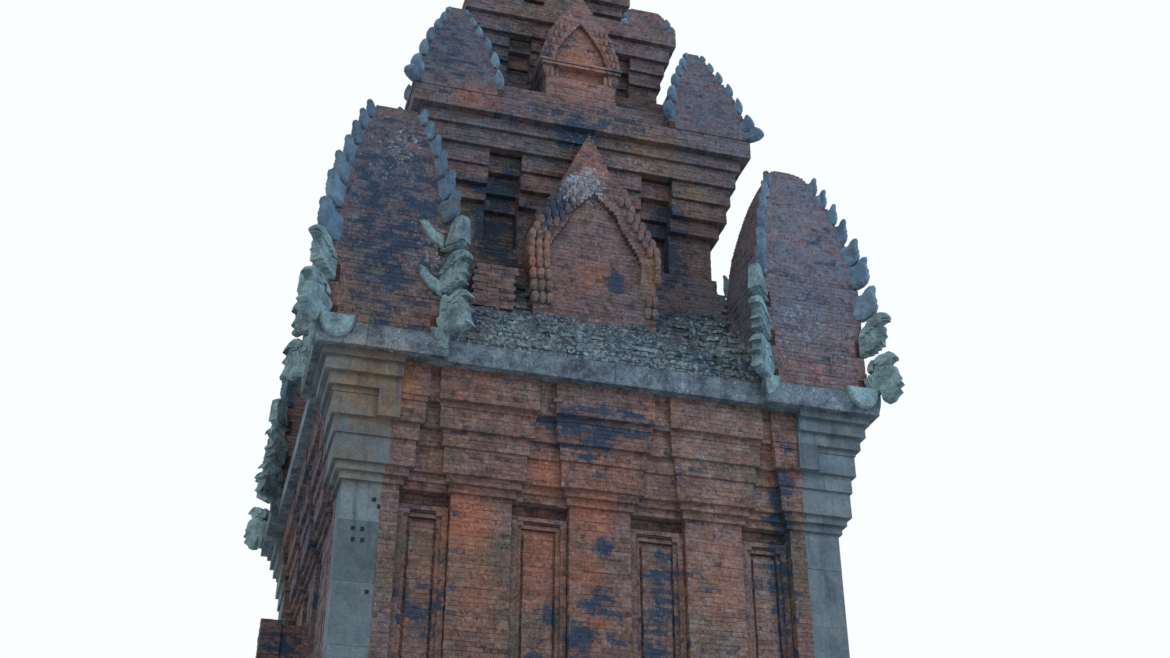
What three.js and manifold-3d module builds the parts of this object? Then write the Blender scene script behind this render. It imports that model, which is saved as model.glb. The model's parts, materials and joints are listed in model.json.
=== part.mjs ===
// Brick tower temple with stone corner piers, a stone slab cornice and three stepped false storeys.
// Units are millimetres, +Z is up, the entrance faces -Y, and the origin is at the centre of the ground face.
import * as THREE from "three";
import { mergeVertices } from "three/addons/utils/BufferGeometryUtils.js";
import Module from "manifold-3d";

const wasm = await Module();
wasm.setup();

// Driving dimensions of the main body
const HALF = 3500; // half width over the stone corner piers
const PIER = 525; // width of the stone corner piers
const STRIP_IN = 2764; // inner edge of the brick strip beside a pier
const P1_OUT = 2041; // outer edge of the side pilaster
const P1_IN = 1236; // inner edge of the side pilaster
const MID = 420; // half width of the middle pilaster
const BAY_BACK_TOP = 5500; // top of the block behind a door bay
const RECESS = 260; // depth of the recesses behind the pier face
const CAP_RECESS = 125; // depth of the recesses between the capitals
const FRIEZE_RECESS = 70; // depth of the breaks in the frieze
const PILASTER_BACK = 56; // set back of the pilasters behind the pier face
const CHAMBER = 2000; // half width of the chamber
const PLINTH_TOP = 1000;
const WALL_TOP = 9700;
const SLAB_TOP = 10030;
const FLOOR_THICK = 100;

// Doorway
const DOOR_HALF = 600;
const DOOR_HEAD = 3500;
const JAMB = 250;
const BAY_HALF = 1120; // half width of the projecting door bays
const BAY_OUT = 3960; // how far the door bays stand from the centre
const JAMB_OUT = 4060;
const JAMB_BACK = 3600;

// Bands of the capitals: bottom, top, outward step
const SHAFT_TOP = 8000;
const BANDS = [
  [8000, 8110, 45],
  [8110, 8220, 100],
  [8220, 8590, 158],
  [8590, 8830, 190],
  [8830, 9140, 245],
  [9140, 9220, 262],
];
const FRIEZE = 9220;
const FRIEZE_STEP = 280;
const PIER_TOP_BANDS = [
  [9220, 9400, 320],
  [9400, 9590, 390],
  [9590, 9700, 450],
];
const BASE_BANDS = [
  [1000, 1380, 210],
  [1380, 1560, 140],
  [1560, 1700, 70],
];
const PIER_CAP_IN = 2860; // inner edge of the stone in the upper capital

// Slab course
const SLAB_CORNER = 4060;
const SLAB_MIDDLE = 3930;
const SLAB_BREAK = 2300;

// Turrets: centre distance, a profile of height and half width, and the leaves of one ridge from the top down
// A leaf is its tip height, the reach of its tip from the tower axis, its own height and its thickness
const TURRET_1 = {
  at: 3190,
  profile: [
    [10030, 780],
    [10420, 780],
    [10420, 765],
    [12050, 785],
    [12650, 700],
    [13060, 635],
    [13500, 530],
    [13920, 400],
    [14230, 270],
    [14400, 110],
  ],
  leaves: [
    [14150, 3640, 350, 90],
    [13880, 3740, 370, 90],
    [13550, 3840, 410, 95],
    [13210, 3935, 450, 100],
    [12800, 4050, 500, 110],
    [12400, 4130, 540, 120],
    [11870, 4190, 570, 150],
    [11330, 4285, 700, 190],
    [10660, 4330, 760, 230],
  ],
  large: 2,
  inner: [4, 5],
  side: 0.82, // the leaves of a side ridge stand out by this share of those of the outer ridge
  near: 0.93, // the same for the side ridge on the turret's right
};
const TURRET_1_WORN_TOP = 14170; // the front left turret has lost its tip
const TURRET_2 = {
  at: 2150,
  profile: [
    [15300, 725],
    [15500, 715],
    [15520, 690],
    [16100, 600],
    [16580, 455],
    [17020, 290],
    [17420, 160],
    [17570, 80],
  ],
  leaves: [
    [17530, 2345, 160, 70],
    [17300, 2450, 280, 75],
    [17030, 2560, 310, 80],
    [16690, 2690, 350, 90],
    [16300, 2800, 390, 100],
    [15880, 2930, 420, 130],
    [15560, 3040, 240, 150],
  ],
  large: 1,
  inner: [3],
  side: 1.08,
};
const TURRET_3 = {
  at: 1440,
  profile: [
    [18300, 420],
    [18450, 415],
    [18750, 340],
    [19050, 230],
    [19300, 110],
    [19400, 50],
  ],
  leaves: [
    [19360, 1540, 120, 55],
    [19150, 1680, 200, 60],
    [18920, 1790, 220, 65],
    [18680, 1880, 230, 75],
    [18460, 1940, 150, 85],
  ],
  large: 1,
  inner: [],
  side: 1,
};
const TURRET_3_WORN_TOP = 18860; // the front right turret is worn down to a stump
const CROWN = {
  at: 0,
  profile: [
    [19600, 760],
    [19780, 755],
    [19790, 700],
    [20150, 670],
    [20550, 490],
    [20750, 320],
    [20880, 150],
    [20940, 60],
  ],
  leaves: [
    [20860, 330, 130, 60],
    [20690, 520, 200, 65],
    [20480, 680, 230, 70],
    [20240, 800, 240, 80],
    [19990, 880, 330, 100],
  ],
  large: 1,
  inner: [0, 1, 2, 3, 4],
  side: 1,
};

// Storeys: rings of bottom, top, half width, recess depth
const STOREY_1 = [
  [11710, 12200, 2580, 0],
  [12200, 12420, 2430, 0],
  [12420, 12740, 2330, 0],
  [12740, 13540, 2270, 250],
  [13540, 13800, 2390, 250],
  [13800, 14120, 2500, 250],
  [14120, 14440, 2560, 160],
  [14440, 14750, 2640, 0],
  [14750, 14960, 2710, 0],
  [14960, 15300, 2855, 0],
];
const STOREY_2 = [
  [15300, 15900, 2050, 0],
  [15900, 16400, 1880, 0],
  [16400, 16720, 1740, 0],
  [16720, 17100, 1640, 180],
  [17100, 17380, 1700, 180],
  [17380, 17640, 1760, 120],
  [17640, 17960, 1840, 0],
  [17960, 18300, 1940, 0],
];
const STOREY_3 = [
  [18300, 18600, 1340, 0],
  [18600, 18760, 1240, 0],
  [18760, 19150, 1090, 0],
  [19150, 19360, 1170, 0],
  [19360, 19600, 1290, 0],
];

// Gable outlines, half of each, as width and height
const NICHE_1_FRONT = [
  [940, 11750],
  [1010, 11940],
  [1050, 12180],
  [1035, 12440],
  [930, 12660],
  [800, 12880],
  [670, 13100],
  [570, 13330],
  [480, 13550],
  [300, 13750],
  [120, 13930],
  [0, 14070],
];
const NICHE_1_REAR = [
  [860, 11750],
  [860, 13050],
  [650, 13380],
  [490, 13640],
  [260, 14160],
  [110, 14490],
  [0, 14720],
];
const NICHE_2_FRONT = [
  [600, 16200],
  [650, 16420],
  [700, 16680],
  [670, 16900],
  [590, 17080],
  [570, 17250],
  [380, 17600],
  [180, 17900],
  [0, 18150],
];

// Materials
const brick = new THREE.MeshStandardMaterial({ color: 0x8a4a36, roughness: 0.92, metalness: 0 });
const brickDark = new THREE.MeshStandardMaterial({ color: 0x6d4035, roughness: 0.94, metalness: 0 });
const stone = new THREE.MeshStandardMaterial({ color: 0x6f7c7c, roughness: 0.88, metalness: 0 });
const paving = new THREE.MeshStandardMaterial({ color: 0x7b6a5c, roughness: 0.9, metalness: 0 });

const group = new THREE.Group();
group.name = "temple";

// Turns a closed three.js geometry into a solid
function solid(geometry) {
  const bare = geometry.clone();
  bare.deleteAttribute("normal");
  bare.deleteAttribute("uv");
  const merged = mergeVertices(bare, 1e-3);
  return new wasm.Manifold(
    new wasm.Mesh({
      numProp: 3,
      vertProperties: new Float32Array(merged.attributes.position.array),
      triVerts: new Uint32Array(merged.index.array),
    }),
  );
}

// Turns a solid back into a geometry with flat faces
function geometryOf(body) {
  const mesh = body.getMesh();
  const g = new THREE.BufferGeometry();
  const points = new Float32Array(mesh.numVert * 3);
  for (let i = 0; i < mesh.numVert; i += 1) {
    for (let k = 0; k < 3; k += 1) points[3 * i + k] = mesh.vertProperties[mesh.numProp * i + k];
  }
  g.setAttribute("position", new THREE.BufferAttribute(points, 3));
  g.setIndex(new THREE.BufferAttribute(new Uint32Array(mesh.triVerts), 1));
  const flat = g.toNonIndexed();
  flat.computeVertexNormals();
  return flat;
}

function box(x0, x1, y0, y1, z0, z1) {
  const g = new THREE.BoxGeometry(x1 - x0, y1 - y0, z1 - z0);
  g.translate((x0 + x1) / 2, (y0 + y1) / 2, (z0 + z1) / 2);
  return solid(g);
}

function shapeOf(points) {
  return new THREE.Shape(points.map(([a, b]) => new THREE.Vector2(a, b)));
}

// Extrudes a plan between two heights
function prism(points, z0, z1, holes = []) {
  const shape = shapeOf(points);
  for (const hole of holes) shape.holes.push(shapeOf(hole));
  const g = new THREE.ExtrudeGeometry(shape, { depth: z1 - z0, bevelEnabled: false });
  g.translate(0, 0, z0);
  return solid(g);
}

// Extrudes an upright outline of x and z from y0 to y1
function plate(points, y0, y1) {
  const g = new THREE.ExtrudeGeometry(shapeOf(points), { depth: y1 - y0, bevelEnabled: false });
  g.rotateX(Math.PI / 2);
  g.translate(0, y1, 0);
  return solid(g);
}

function union(list) {
  return wasm.Manifold.union(list);
}

// Keeps the main body where a cut leaves crumbs
function largest(body) {
  const pieces = body.decompose();
  return pieces.sort((a, b) => b.volume() - a.volume())[0];
}

function square(r) {
  return [
    [-r, -r],
    [r, -r],
    [r, r],
    [-r, r],
  ];
}

// Outline of a gable from its half outline, closed down to a foot
function gable(half, foot, scale = 1) {
  const low = half[0][1];
  const right = half.map(([w, z]) => [w * scale, low + (z - low) * scale]);
  const left = right.slice(0, -1).reverse().map(([w, z]) => [-w, z]);
  return [[-right[0][0], foot], [right[0][0], foot], ...right, ...left];
}

function add(name, body, material, turn = 0) {
  const clean = body.asOriginal().simplify(0.01);
  const mesh = new THREE.Mesh(geometryOf(clean), material);
  mesh.name = name;
  mesh.rotation.z = turn * (Math.PI / 2);
  group.add(mesh);
}

// A body turned about Z in quarter turns, kept exact
function quarter(body, turn) {
  const c = [1, 0, -1, 0][turn];
  const s = [0, 1, 0, -1][turn];
  return body.transform([c, s, 0, 0, -s, c, 0, 0, 0, 0, 1, 0, 0, 0, 0, 1]);
}

const SIDES = ["front", "right", "back", "left"];
const CORNERS = ["front_left", "front_right", "back_right", "back_left"];

// Plan of one outer wall between the piers, seen from above, entrance side at -Y
function wallPlan(step, edge, recess = RECESS, back = PILASTER_BACK) {
  const pierFace = -(HALF + step);
  const pilasterFace = -(HALF - back + step);
  const recessFace = -(HALF - recess + step);
  const half = [
    [0, pilasterFace],
    [MID + step, pilasterFace],
    [MID + step, recessFace],
    [P1_IN - step, recessFace],
    [P1_IN - step, pilasterFace],
    [P1_OUT + step, pilasterFace],
    [P1_OUT + step, recessFace],
    [STRIP_IN - step, recessFace],
    [STRIP_IN - step, pierFace],
    [edge, pierFace],
  ];
  const left = half.slice(1).reverse().map(([x, y]) => [-x, y]);
  return [...left, ...half.slice(1), [edge, -CHAMBER], [-edge, -CHAMBER]];
}

// Blind frame that stands in a recess, stepped twice towards a raised panel
function recessFrame(x, width, z0, z1) {
  const back = -(HALF - RECESS - 20);
  const front = -(HALF - RECESS + 130);
  const inset = (side, foot, head, near, far) =>
    box(x - width + side, x + width - side, near, far, z0 + foot, z1 - head);
  return box(x - width, x + width, front, back, z0, z1)
    .subtract(inset(60, 200, 90, front - 10, front + 40))
    .subtract(inset(120, 260, 160, front - 10, front + 90))
    .add(inset(180, 330, 230, front + 45, front + 100));
}

function wallSolid() {
  const inner = HALF - PIER;
  const parts = [prism(wallPlan(0, inner), PLINTH_TOP, SHAFT_TOP)];
  for (const [z0, z1, step] of BANDS) parts.push(prism(wallPlan(step, inner, CAP_RECESS), z0, z1));
  for (const [z0, z1, step] of BASE_BANDS) parts.push(prism(wallPlan(step, inner), z0, z1));
  parts.push(prism(wallPlan(FRIEZE_STEP, inner, FRIEZE_RECESS, 0), FRIEZE, WALL_TOP));
  const outerMid = (STRIP_IN + P1_OUT) / 2;
  const innerMid = (P1_IN + MID) / 2;
  for (const side of [-1, 1]) {
    parts.push(recessFrame(side * outerMid, 325, 1650, 7810));
    parts.push(recessFrame(side * innerMid, 370, 1650, 7810));
  }
  parts.push(box(-BAY_HALF, BAY_HALF, -HALF, -CHAMBER, PLINTH_TOP, BAY_BACK_TOP));
  return union(parts);
}

// Projecting bay of a false door with a stepped pointed gable
const DOOR_GABLE = [
  [1120, 4700],
  [1200, 4920],
  [1180, 5200],
  [1040, 5430],
  [880, 5680],
  [720, 5940],
  [540, 6190],
  [320, 6420],
  [130, 6640],
  [0, 6820],
];
const GABLE_BACK = -HALF + RECESS + 20; // the gable reaches a little into the back of the recesses
const JOINT = 0.5; // gap beside the gable where it is let into the wall

function falseDoor() {
  const y0 = -BAY_OUT;
  const y1 = -HALF;
  const parts = [box(-BAY_HALF, BAY_HALF, y0 + 130, y1, PLINTH_TOP, 4700)];
  for (const side of [-1, 1]) {
    const a = side * 620;
    const b = side * BAY_HALF;
    parts.push(box(Math.min(a, b), Math.max(a, b), y0, y1, PLINTH_TOP, 4400));
  }
  parts.push(box(-1200, 1200, y0 - 60, y1, PLINTH_TOP, 1420));
  parts.push(box(-1170, 1170, y0 - 40, y1, 4150, 4420));
  parts.push(box(-1220, 1220, y0 - 90, y1, 4420, 4700));
  parts.push(plate(gable(DOOR_GABLE, 4700), y0 - 60, GABLE_BACK));
  parts.push(plate(gable(DOOR_GABLE, 4700, 0.72), y0 - 150, y0));
  // Leaf that ends the gable
  const leaf = [
    [-170, 6450],
    [170, 6450],
    [230, 6680],
    [200, 6960],
    [90, 7180],
    [-90, 7180],
    [-200, 6960],
    [-230, 6680],
  ];
  parts.push(plate(leaf, y0 - 170, y0 + 100));
  parts.push(plate(leaf.map(([x, z]) => [x * 0.8, z - 60]), y0 + 90, -HALF + PILASTER_BACK));
  const panel = box(-330, 330, y0 + 130 - 1, y0 + 230, 1420, 4000);
  return union(parts).subtract(panel);
}

// Entrance bay, whose gable has fallen
function entranceBay() {
  const y0 = -BAY_OUT;
  const broken = [
    [-1150, 4400],
    [1150, 4400],
    [1150, 4640],
    [980, 4700],
    [900, 4980],
    [640, 5060],
    [520, 5300],
    [180, 5380],
    [-60, 5240],
    [-330, 5330],
    [-560, 5100],
    [-760, 5010],
    [-900, 4740],
    [-1150, 4600],
  ];
  const parts = [box(-BAY_HALF, BAY_HALF, y0, -HALF + 10, PLINTH_TOP, 4150)];
  parts.push(box(-1200, 1200, y0 - 60, -HALF + 10, PLINTH_TOP, 1420));
  parts.push(box(-1170, 1170, y0 - 40, -HALF + 10, 4150, 4400));
  parts.push(plate(broken, y0 + 40, -HALF + 10));
  return union(parts);
}

// Stone pier of the front left corner
function pierSolid() {
  const inner = HALF - PIER;
  const parts = [box(-HALF, -inner, -HALF, -inner, PLINTH_TOP, SHAFT_TOP)];
  for (const [z0, z1, step] of [...BANDS, ...BASE_BANDS]) {
    const r = HALF + step;
    const edge = z0 < SHAFT_TOP ? inner : step > 240 ? PIER_CAP_IN : step > 150 ? inner - 60 : inner;
    parts.push(box(-r, -edge, -r, -edge, z0, z1));
  }
  for (const [z0, z1, step] of PIER_TOP_BANDS) {
    const r = HALF + step;
    parts.push(box(-r, -PIER_CAP_IN, -r, -PIER_CAP_IN, z0, z1));
  }
  return union(parts);
}

// Ring of a storey with recesses on each side
function storeySolid(rings, hollow, recessIn, recessOut) {
  const parts = [];
  for (const [z0, z1, r] of rings) parts.push(prism(square(r), z0, z1, [square(hollow)]));
  let body = union(parts);
  for (const [z0, z1, r, depth] of rings) {
    if (!depth) continue;
    for (let turn = 0; turn < 4; turn += 1) {
      for (const side of [-1, 1]) {
        const a = side * recessIn;
        const b = side * recessOut;
        const cut = box(Math.min(a, b), Math.max(a, b), -r - 10, -r + depth, z0, z1);
        body = body.subtract(quarter(cut, turn));
      }
    }
  }
  return body;
}

// Half width of a turret at a height
function widthAt(profile, z) {
  for (let i = 1; i < profile.length; i += 1) {
    const [z0, w0] = profile[i - 1];
    const [z1, w1] = profile[i];
    if (z <= z1 && z1 > z0) return w0 + ((w1 - w0) * (z - z0)) / (z1 - z0);
  }
  return profile[profile.length - 1][1];
}

// Body of a turret from its profile, about its own axis
function turretBody(profile) {
  const points = [];
  const faces = [];
  for (const [z, w] of profile) points.push([-w, -w, z], [w, -w, z], [w, w, z], [-w, w, z]);
  const rows = profile.length;
  for (let i = 0; i + 1 < rows; i += 1) {
    for (let k = 0; k < 4; k += 1) {
      const a = 4 * i + k;
      const b = 4 * i + ((k + 1) % 4);
      faces.push(a, b, b + 4, a, b + 4, a + 4);
    }
  }
  faces.push(0, 2, 1, 0, 3, 2);
  const t = 4 * (rows - 1);
  faces.push(t, t + 1, t + 2, t, t + 2, t + 3);
  return new wasm.Manifold(
    new wasm.Mesh({
      numProp: 3,
      vertProperties: new Float32Array(points.flat()),
      triVerts: new Uint32Array(faces),
    }),
  );
}

// One hooked leaf in the plane of a corner: s runs outward from the turret's axis, z up
function leafSolid(spec, leaf, kind, share = 1) {
  const { at, profile } = spec;
  const [tip, farthest, height, thick] = leaf;
  const reach = at + (farthest - at) * share;
  const root = Math.SQRT2;
  const floor = profile[0][0] + 2;
  const foot = Math.max(tip - height, floor);
  const h = tip - foot;
  const edge = (z) => widthAt(profile, Math.min(Math.max(z, floor), profile[profile.length - 1][0])) * root;
  const bury = 110;
  const least = edge(foot + h * 0.3) + 45;
  const end = kind === "inner" ? edge(tip - h / 2) + 110 : Math.max((reach - at) * root, least);
  const out = Math.max(end - edge(foot + h * 0.3), 45);
  const low = Math.max(edge(foot) - bury, 20);
  const high = Math.max(edge(tip - h * 0.45) - bury, 15);
  const corner = (SLAB_CORNER - at) * root + 2;
  let outline;
  if (kind === "beast") {
    // The lowest beast leans out over the corner of the slab
    outline = [
      [low, foot],
      [corner, foot],
      [corner, foot - 170],
      [end - 40, foot - 130],
      [end + 25, foot + h * 0.3],
      [end + 5, foot + h * 0.55],
      [end - 20, tip],
      [end - out * 0.42, tip - h * 0.06],
      [edge(foot + h * 0.5) + out * 0.2, foot + h * 0.45],
      [high, foot + h * 0.42],
    ];
  } else if (at > 2000 || kind === "large") {
    outline = [
      [low, foot + h * 0.04],
      [edge(foot) + out * 0.62, foot],
      [end - out * 0.02, foot + h * 0.42],
      [end, tip],
      [end - out * 0.42, tip - h * 0.05],
      [edge(tip - h * 0.5) + out * 0.14, tip - h * 0.5],
      [high, tip - h * 0.55],
    ];
  } else {
    outline = [
      [low, foot + h * 0.04],
      [end, foot + h * 0.4],
      [end, tip],
      [high, tip - h * 0.5],
    ];
  }
  const g = new THREE.ExtrudeGeometry(shapeOf(outline), { depth: thick, bevelEnabled: false });
  g.translate(0, 0, -thick / 2);
  g.rotateX(Math.PI / 2);
  return solid(g);
}

// Turret at the front left corner, its own axis on the diagonal of the tower
function turretSolid(spec, cutTop = 0) {
  const { at, profile, leaves, large, inner, side, near } = spec;
  const parts = [turretBody(profile)];
  leaves.forEach((leaf, i) => {
    const last = i === leaves.length - 1;
    const kind = i >= leaves.length - large ? "large" : "small";
    for (let turn = 0; turn < 4; turn += 1) {
      // Turn 0 faces the tower and turn 2 faces out over the corner
      const isInner = turn === 0 && at > 0;
      if (isInner && !inner.includes(i)) continue;
      const leans = turn === 2 && last && at > 3000;
      const share = [1, side, 1, near ?? side][turn];
      const one = leafSolid(spec, leaf, isInner ? "inner" : leans ? "beast" : kind, share);
      parts.push(one.rotate([0, 0, 45 + 90 * turn]));
    }
  });
  let body = union(parts);
  if (cutTop) body = body.subtract(box(-big, big, -big, big, cutTop, above));
  return body.translate([-at, -at, 0]);
}

function nicheSolid(front, rear, foot, faces) {
  const [y0, y1, y2] = faces;
  const parts = [plate(gable(front, foot), y0, y1)];
  if (rear) parts.push(plate(gable(rear, foot), y1 - 5, y2));
  const low = front[0][1];
  const inner = plate(gable(front, low + 60, 0.72), y0 - 20, y0 + 90);
  return union(parts).subtract(inner);
}

// Main body
const big = 6000; // beyond every side of the tower
const above = 22000; // over the top of the tower
const wall = wallSolid();
const pier = pierSolid();
const piers = [0, 1, 2, 3].map((turn) => quarter(pier, turn));
const pierAll = union(piers);

const doorWay = box(-DOOR_HALF, DOOR_HALF, -5000, -CHAMBER + 10, PLINTH_TOP, DOOR_HEAD);
const jambLeft = box(-DOOR_HALF - JAMB, -DOOR_HALF, -JAMB_OUT, -JAMB_BACK, PLINTH_TOP, DOOR_HEAD);
const jambRight = box(DOOR_HALF, DOOR_HALF + JAMB, -JAMB_OUT, -JAMB_BACK, PLINTH_TOP, DOOR_HEAD);
const lintel = box(-1000, 1000, -JAMB_OUT - 20, -JAMB_BACK, DOOR_HEAD, DOOR_HEAD + 380);

const entrance = union([wall, entranceBay()])
  .subtract(doorWay)
  .subtract(union([jambLeft, jambRight, lintel]))
  .subtract(pierAll);
const leftOf = box(-big, -DOOR_HALF, -big, 0, 0, WALL_TOP);
const rightOf = box(DOOR_HALF, big, -big, 0, 0, WALL_TOP);
const over = box(-DOOR_HALF, DOOR_HALF, -big, 0, DOOR_HEAD, WALL_TOP);

const PLINTH_STEPS = [
  [0, 300, 4700],
  [300, 520, 4520],
  [520, 760, 4340],
  [760, 1000, 4240],
];
const passage = box(-DOOR_HALF, DOOR_HALF, -3900, -CHAMBER, PLINTH_TOP - FLOOR_THICK, PLINTH_TOP);
const chamberFloor = box(-CHAMBER, CHAMBER, -CHAMBER, CHAMBER, PLINTH_TOP - FLOOR_THICK, PLINTH_TOP);
const floor = union([chamberFloor, passage]);
let plinth = union(PLINTH_STEPS.map(([z0, z1, r]) => box(-r, r, -r, r, z0, z1)));

const STEP_COUNT = 5;
const RISE = PLINTH_TOP / STEP_COUNT;
const TREAD = 320;
const stepParts = [];
for (let i = 0; i < STEP_COUNT; i += 1) {
  const reach = 4240 + 60 + TREAD * (STEP_COUNT - i);
  stepParts.push(box(-900, 900, -reach, -4240, i * RISE, (i + 1) * RISE));
}
for (const side of [-1, 1]) {
  const a = side * 900;
  const b = side * 1180;
  stepParts.push(box(Math.min(a, b), Math.max(a, b), -5950, -4240, 0, 520));
  stepParts.push(box(Math.min(a, b), Math.max(a, b), -5300, -4240, 520, 1000));
}
const steps = union(stepParts);
plinth = plinth.subtract(floor).subtract(steps);

add("plinth", plinth, stone);
add("floor", floor, paving);
add("entrance_steps", steps, stone);
add("front_wall_left", entrance.intersect(leftOf), brick);
add("front_wall_right", entrance.intersect(rightOf), brick);
add("front_wall_over_door", entrance.intersect(over), brick);
add("door_jamb_left", jambLeft, stone);
add("door_jamb_right", jambRight, stone);
add("door_lintel", lintel, stone);

// Back wall is whole; the side walls stand between the front and back walls
const door = falseDoor();
const seatOutline = gable(DOOR_GABLE.map(([w, z]) => [w + JOINT, z + JOINT]), 4700);
const fullSide = wall.subtract(pierAll).subtract(door).subtract(plate(seatOutline, -HALF, GABLE_BACK));
add("back_wall", quarter(fullSide, 2), brick);
const inner = HALF - PIER;
const sideOuter = box(-inner, inner, -big, -inner, 0, WALL_TOP);
const sideInner = box(-CHAMBER, CHAMBER, -inner, -CHAMBER, 0, WALL_TOP);
const sideWall = fullSide.intersect(union([sideOuter, sideInner]));
add("right_wall", quarter(sideWall, 1), brick);
add("left_wall", quarter(sideWall, 3), brick);

piers.forEach((body, i) => add(`corner_pier_${CORNERS[i]}`, body, stone));
for (const turn of [1, 2, 3]) add(`false_door_${SIDES[turn]}`, quarter(door, turn), brick);

// Slab course
const c = SLAB_CORNER;
const m = SLAB_MIDDLE;
const k = SLAB_BREAK;
const slabSide = [
  [-c, -c],
  [-k, -c],
  [-k, -m],
  [k, -m],
  [k, -c],
];
const slabPlan = [];
for (let turn = 0; turn < 4; turn += 1) {
  for (const [x, y] of slabSide) {
    const cs = [1, 0, -1, 0][turn];
    const sn = [0, 1, 0, -1][turn];
    slabPlan.push([cs * x - sn * y, sn * x + cs * y]);
  }
}
add("main_cornice", prism(slabPlan, WALL_TOP, SLAB_TOP, [square(1850)]), stone);

// Stepped brick ledge between the turrets
const LEDGE_STEPS = 7;
const LEDGE_TOP = STOREY_1[0][0];
const ledgeParts = [];
for (let i = 0; i < LEDGE_STEPS; i += 1) {
  const z0 = SLAB_TOP + ((LEDGE_TOP - SLAB_TOP) * i) / LEDGE_STEPS;
  const z1 = SLAB_TOP + ((LEDGE_TOP - SLAB_TOP) * (i + 1)) / LEDGE_STEPS;
  const r = 3820 - (1000 * i) / (LEDGE_STEPS - 1);
  ledgeParts.push(prism(square(r), z0, z1, [square(1700)]));
}
const near = TURRET_1.at - Math.max(...TURRET_1.profile.map(([, w]) => w));
let ledge = union(ledgeParts);
for (let turn = 0; turn < 4; turn += 1) {
  ledge = ledge.subtract(quarter(box(-4500, -near, -4500, -near, 9000, 13000), turn));
}
add("ledge", ledge, brickDark);

// False storey 1
const storey1 = storeySolid(STOREY_1, 1500, 1000, 1560);
add("storey_1_wall", storey1, brick);
const seat1 = union([storey1, ledge]);
const turret1 = largest(turretSolid(TURRET_1).subtract(seat1));
const turret1Broken = largest(turretSolid(TURRET_1, TURRET_1_WORN_TOP).subtract(seat1));
[0, 1, 2, 3].forEach((turn) =>
  add(`turret_1_${CORNERS[turn]}`, quarter(turn === 0 ? turret1Broken : turret1, turn), brick),
);
const niche1 = nicheSolid(NICHE_1_FRONT, NICHE_1_REAR, 10300, [-3260, -2980, -2000])
  .subtract(ledge)
  .subtract(storey1)
  .subtract(box(-big, big, -2300, big, 0, above));
[0, 1, 2, 3].forEach((turn) => add(`niche_1_${SIDES[turn]}`, quarter(niche1, turn), brick));

// False storey 2
const HOLLOW_2 = 900; // half width of the hollow inside storey 2
// Low steps at the foot of storey 2 between the turrets: bottom, top, distance from the axis
const BENCH_2 = [
  [15300, 15530, 2730],
  [15530, 15760, 2600],
];
const BENCH_2_HALF = 1410;
const bench2 = [];
for (const [z0, z1, r] of BENCH_2) {
  const step = box(-BENCH_2_HALF, BENCH_2_HALF, -r, -2000, z0, z1);
  for (let turn = 0; turn < 4; turn += 1) bench2.push(quarter(step, turn));
}
const storey2 = union([storeySolid(STOREY_2, HOLLOW_2, 700, 1130), ...bench2]);
const acrossFront = box(-big, big, -big, -HOLLOW_2, 0, above);
const betweenEnds = box(-HOLLOW_2, HOLLOW_2, -big, -HOLLOW_2, 0, above);
[acrossFront, betweenEnds, acrossFront, betweenEnds].forEach((part, turn) =>
  add(`storey_2_${SIDES[turn]}`, quarter(storey2.intersect(part), turn), brick),
);
const turret2 = largest(turretSolid(TURRET_2).subtract(storey2));
[0, 1, 2, 3].forEach((turn) => add(`turret_2_${CORNERS[turn]}`, quarter(turret2, turn), brick));
const niche2 = nicheSolid(NICHE_2_FRONT, null, 15300, [-2460, -1600, 0])
  .subtract(storey2)
  .subtract(box(-big, big, -1650, big, 0, above));
[0, 1, 2, 3].forEach((turn) => add(`niche_2_${SIDES[turn]}`, quarter(niche2, turn), brick));

// False storey 3 with small gables of the same brick
const NICHE_3 = NICHE_2_FRONT.filter((point, i) => i % 2 === 0).map(([w, z]) => [
  w * 0.6,
  18600 + (z - 16200) * 0.45,
]);
const gables3 = [0, 1, 2, 3].map((turn) => quarter(plate(gable(NICHE_3, 18300), -1480, -1000), turn));
const storey3 = union([storeySolid(STOREY_3, 520, 0, 0), ...gables3]);
add("storey_3_wall", storey3, brick);
const turret3 = largest(turretSolid(TURRET_3).subtract(storey3));
const turret3Worn = largest(turretSolid(TURRET_3, TURRET_3_WORN_TOP).subtract(storey3));
[0, 1, 2, 3].forEach((turn) =>
  add(`turret_3_${CORNERS[turn]}`, quarter(turn === 1 ? turret3Worn : turret3, turn), brick),
);
add("crown", turretSolid(CROWN), brick);

export default group;
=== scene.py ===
"""Brick tower temple: bricks, stone blocks, leaf ridges and weathered finishes laid on the model's solids."""
import json
import math
import random
from functools import cache, reduce

import bmesh
import bpy
import numpy as np
from mathutils import Matrix, Vector, noise
from mathutils.bvhtree import BVHTree


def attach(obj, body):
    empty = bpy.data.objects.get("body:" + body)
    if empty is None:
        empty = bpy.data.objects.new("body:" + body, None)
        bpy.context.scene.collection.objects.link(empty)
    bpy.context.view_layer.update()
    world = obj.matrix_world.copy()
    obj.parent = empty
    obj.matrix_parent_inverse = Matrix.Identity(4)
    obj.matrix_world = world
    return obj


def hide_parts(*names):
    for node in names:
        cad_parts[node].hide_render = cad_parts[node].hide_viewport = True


bl_info = {
    "name": "Brick tower temple",
    "version": (1, 0, 0),
    "blender": (4, 5, 0),
    "location": "View3D > Sidebar > Temple",
    "description": "Lays bricks and stones on the temple's solids and gives them weathered finishes",
    "category": "Add Mesh",
}

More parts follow.
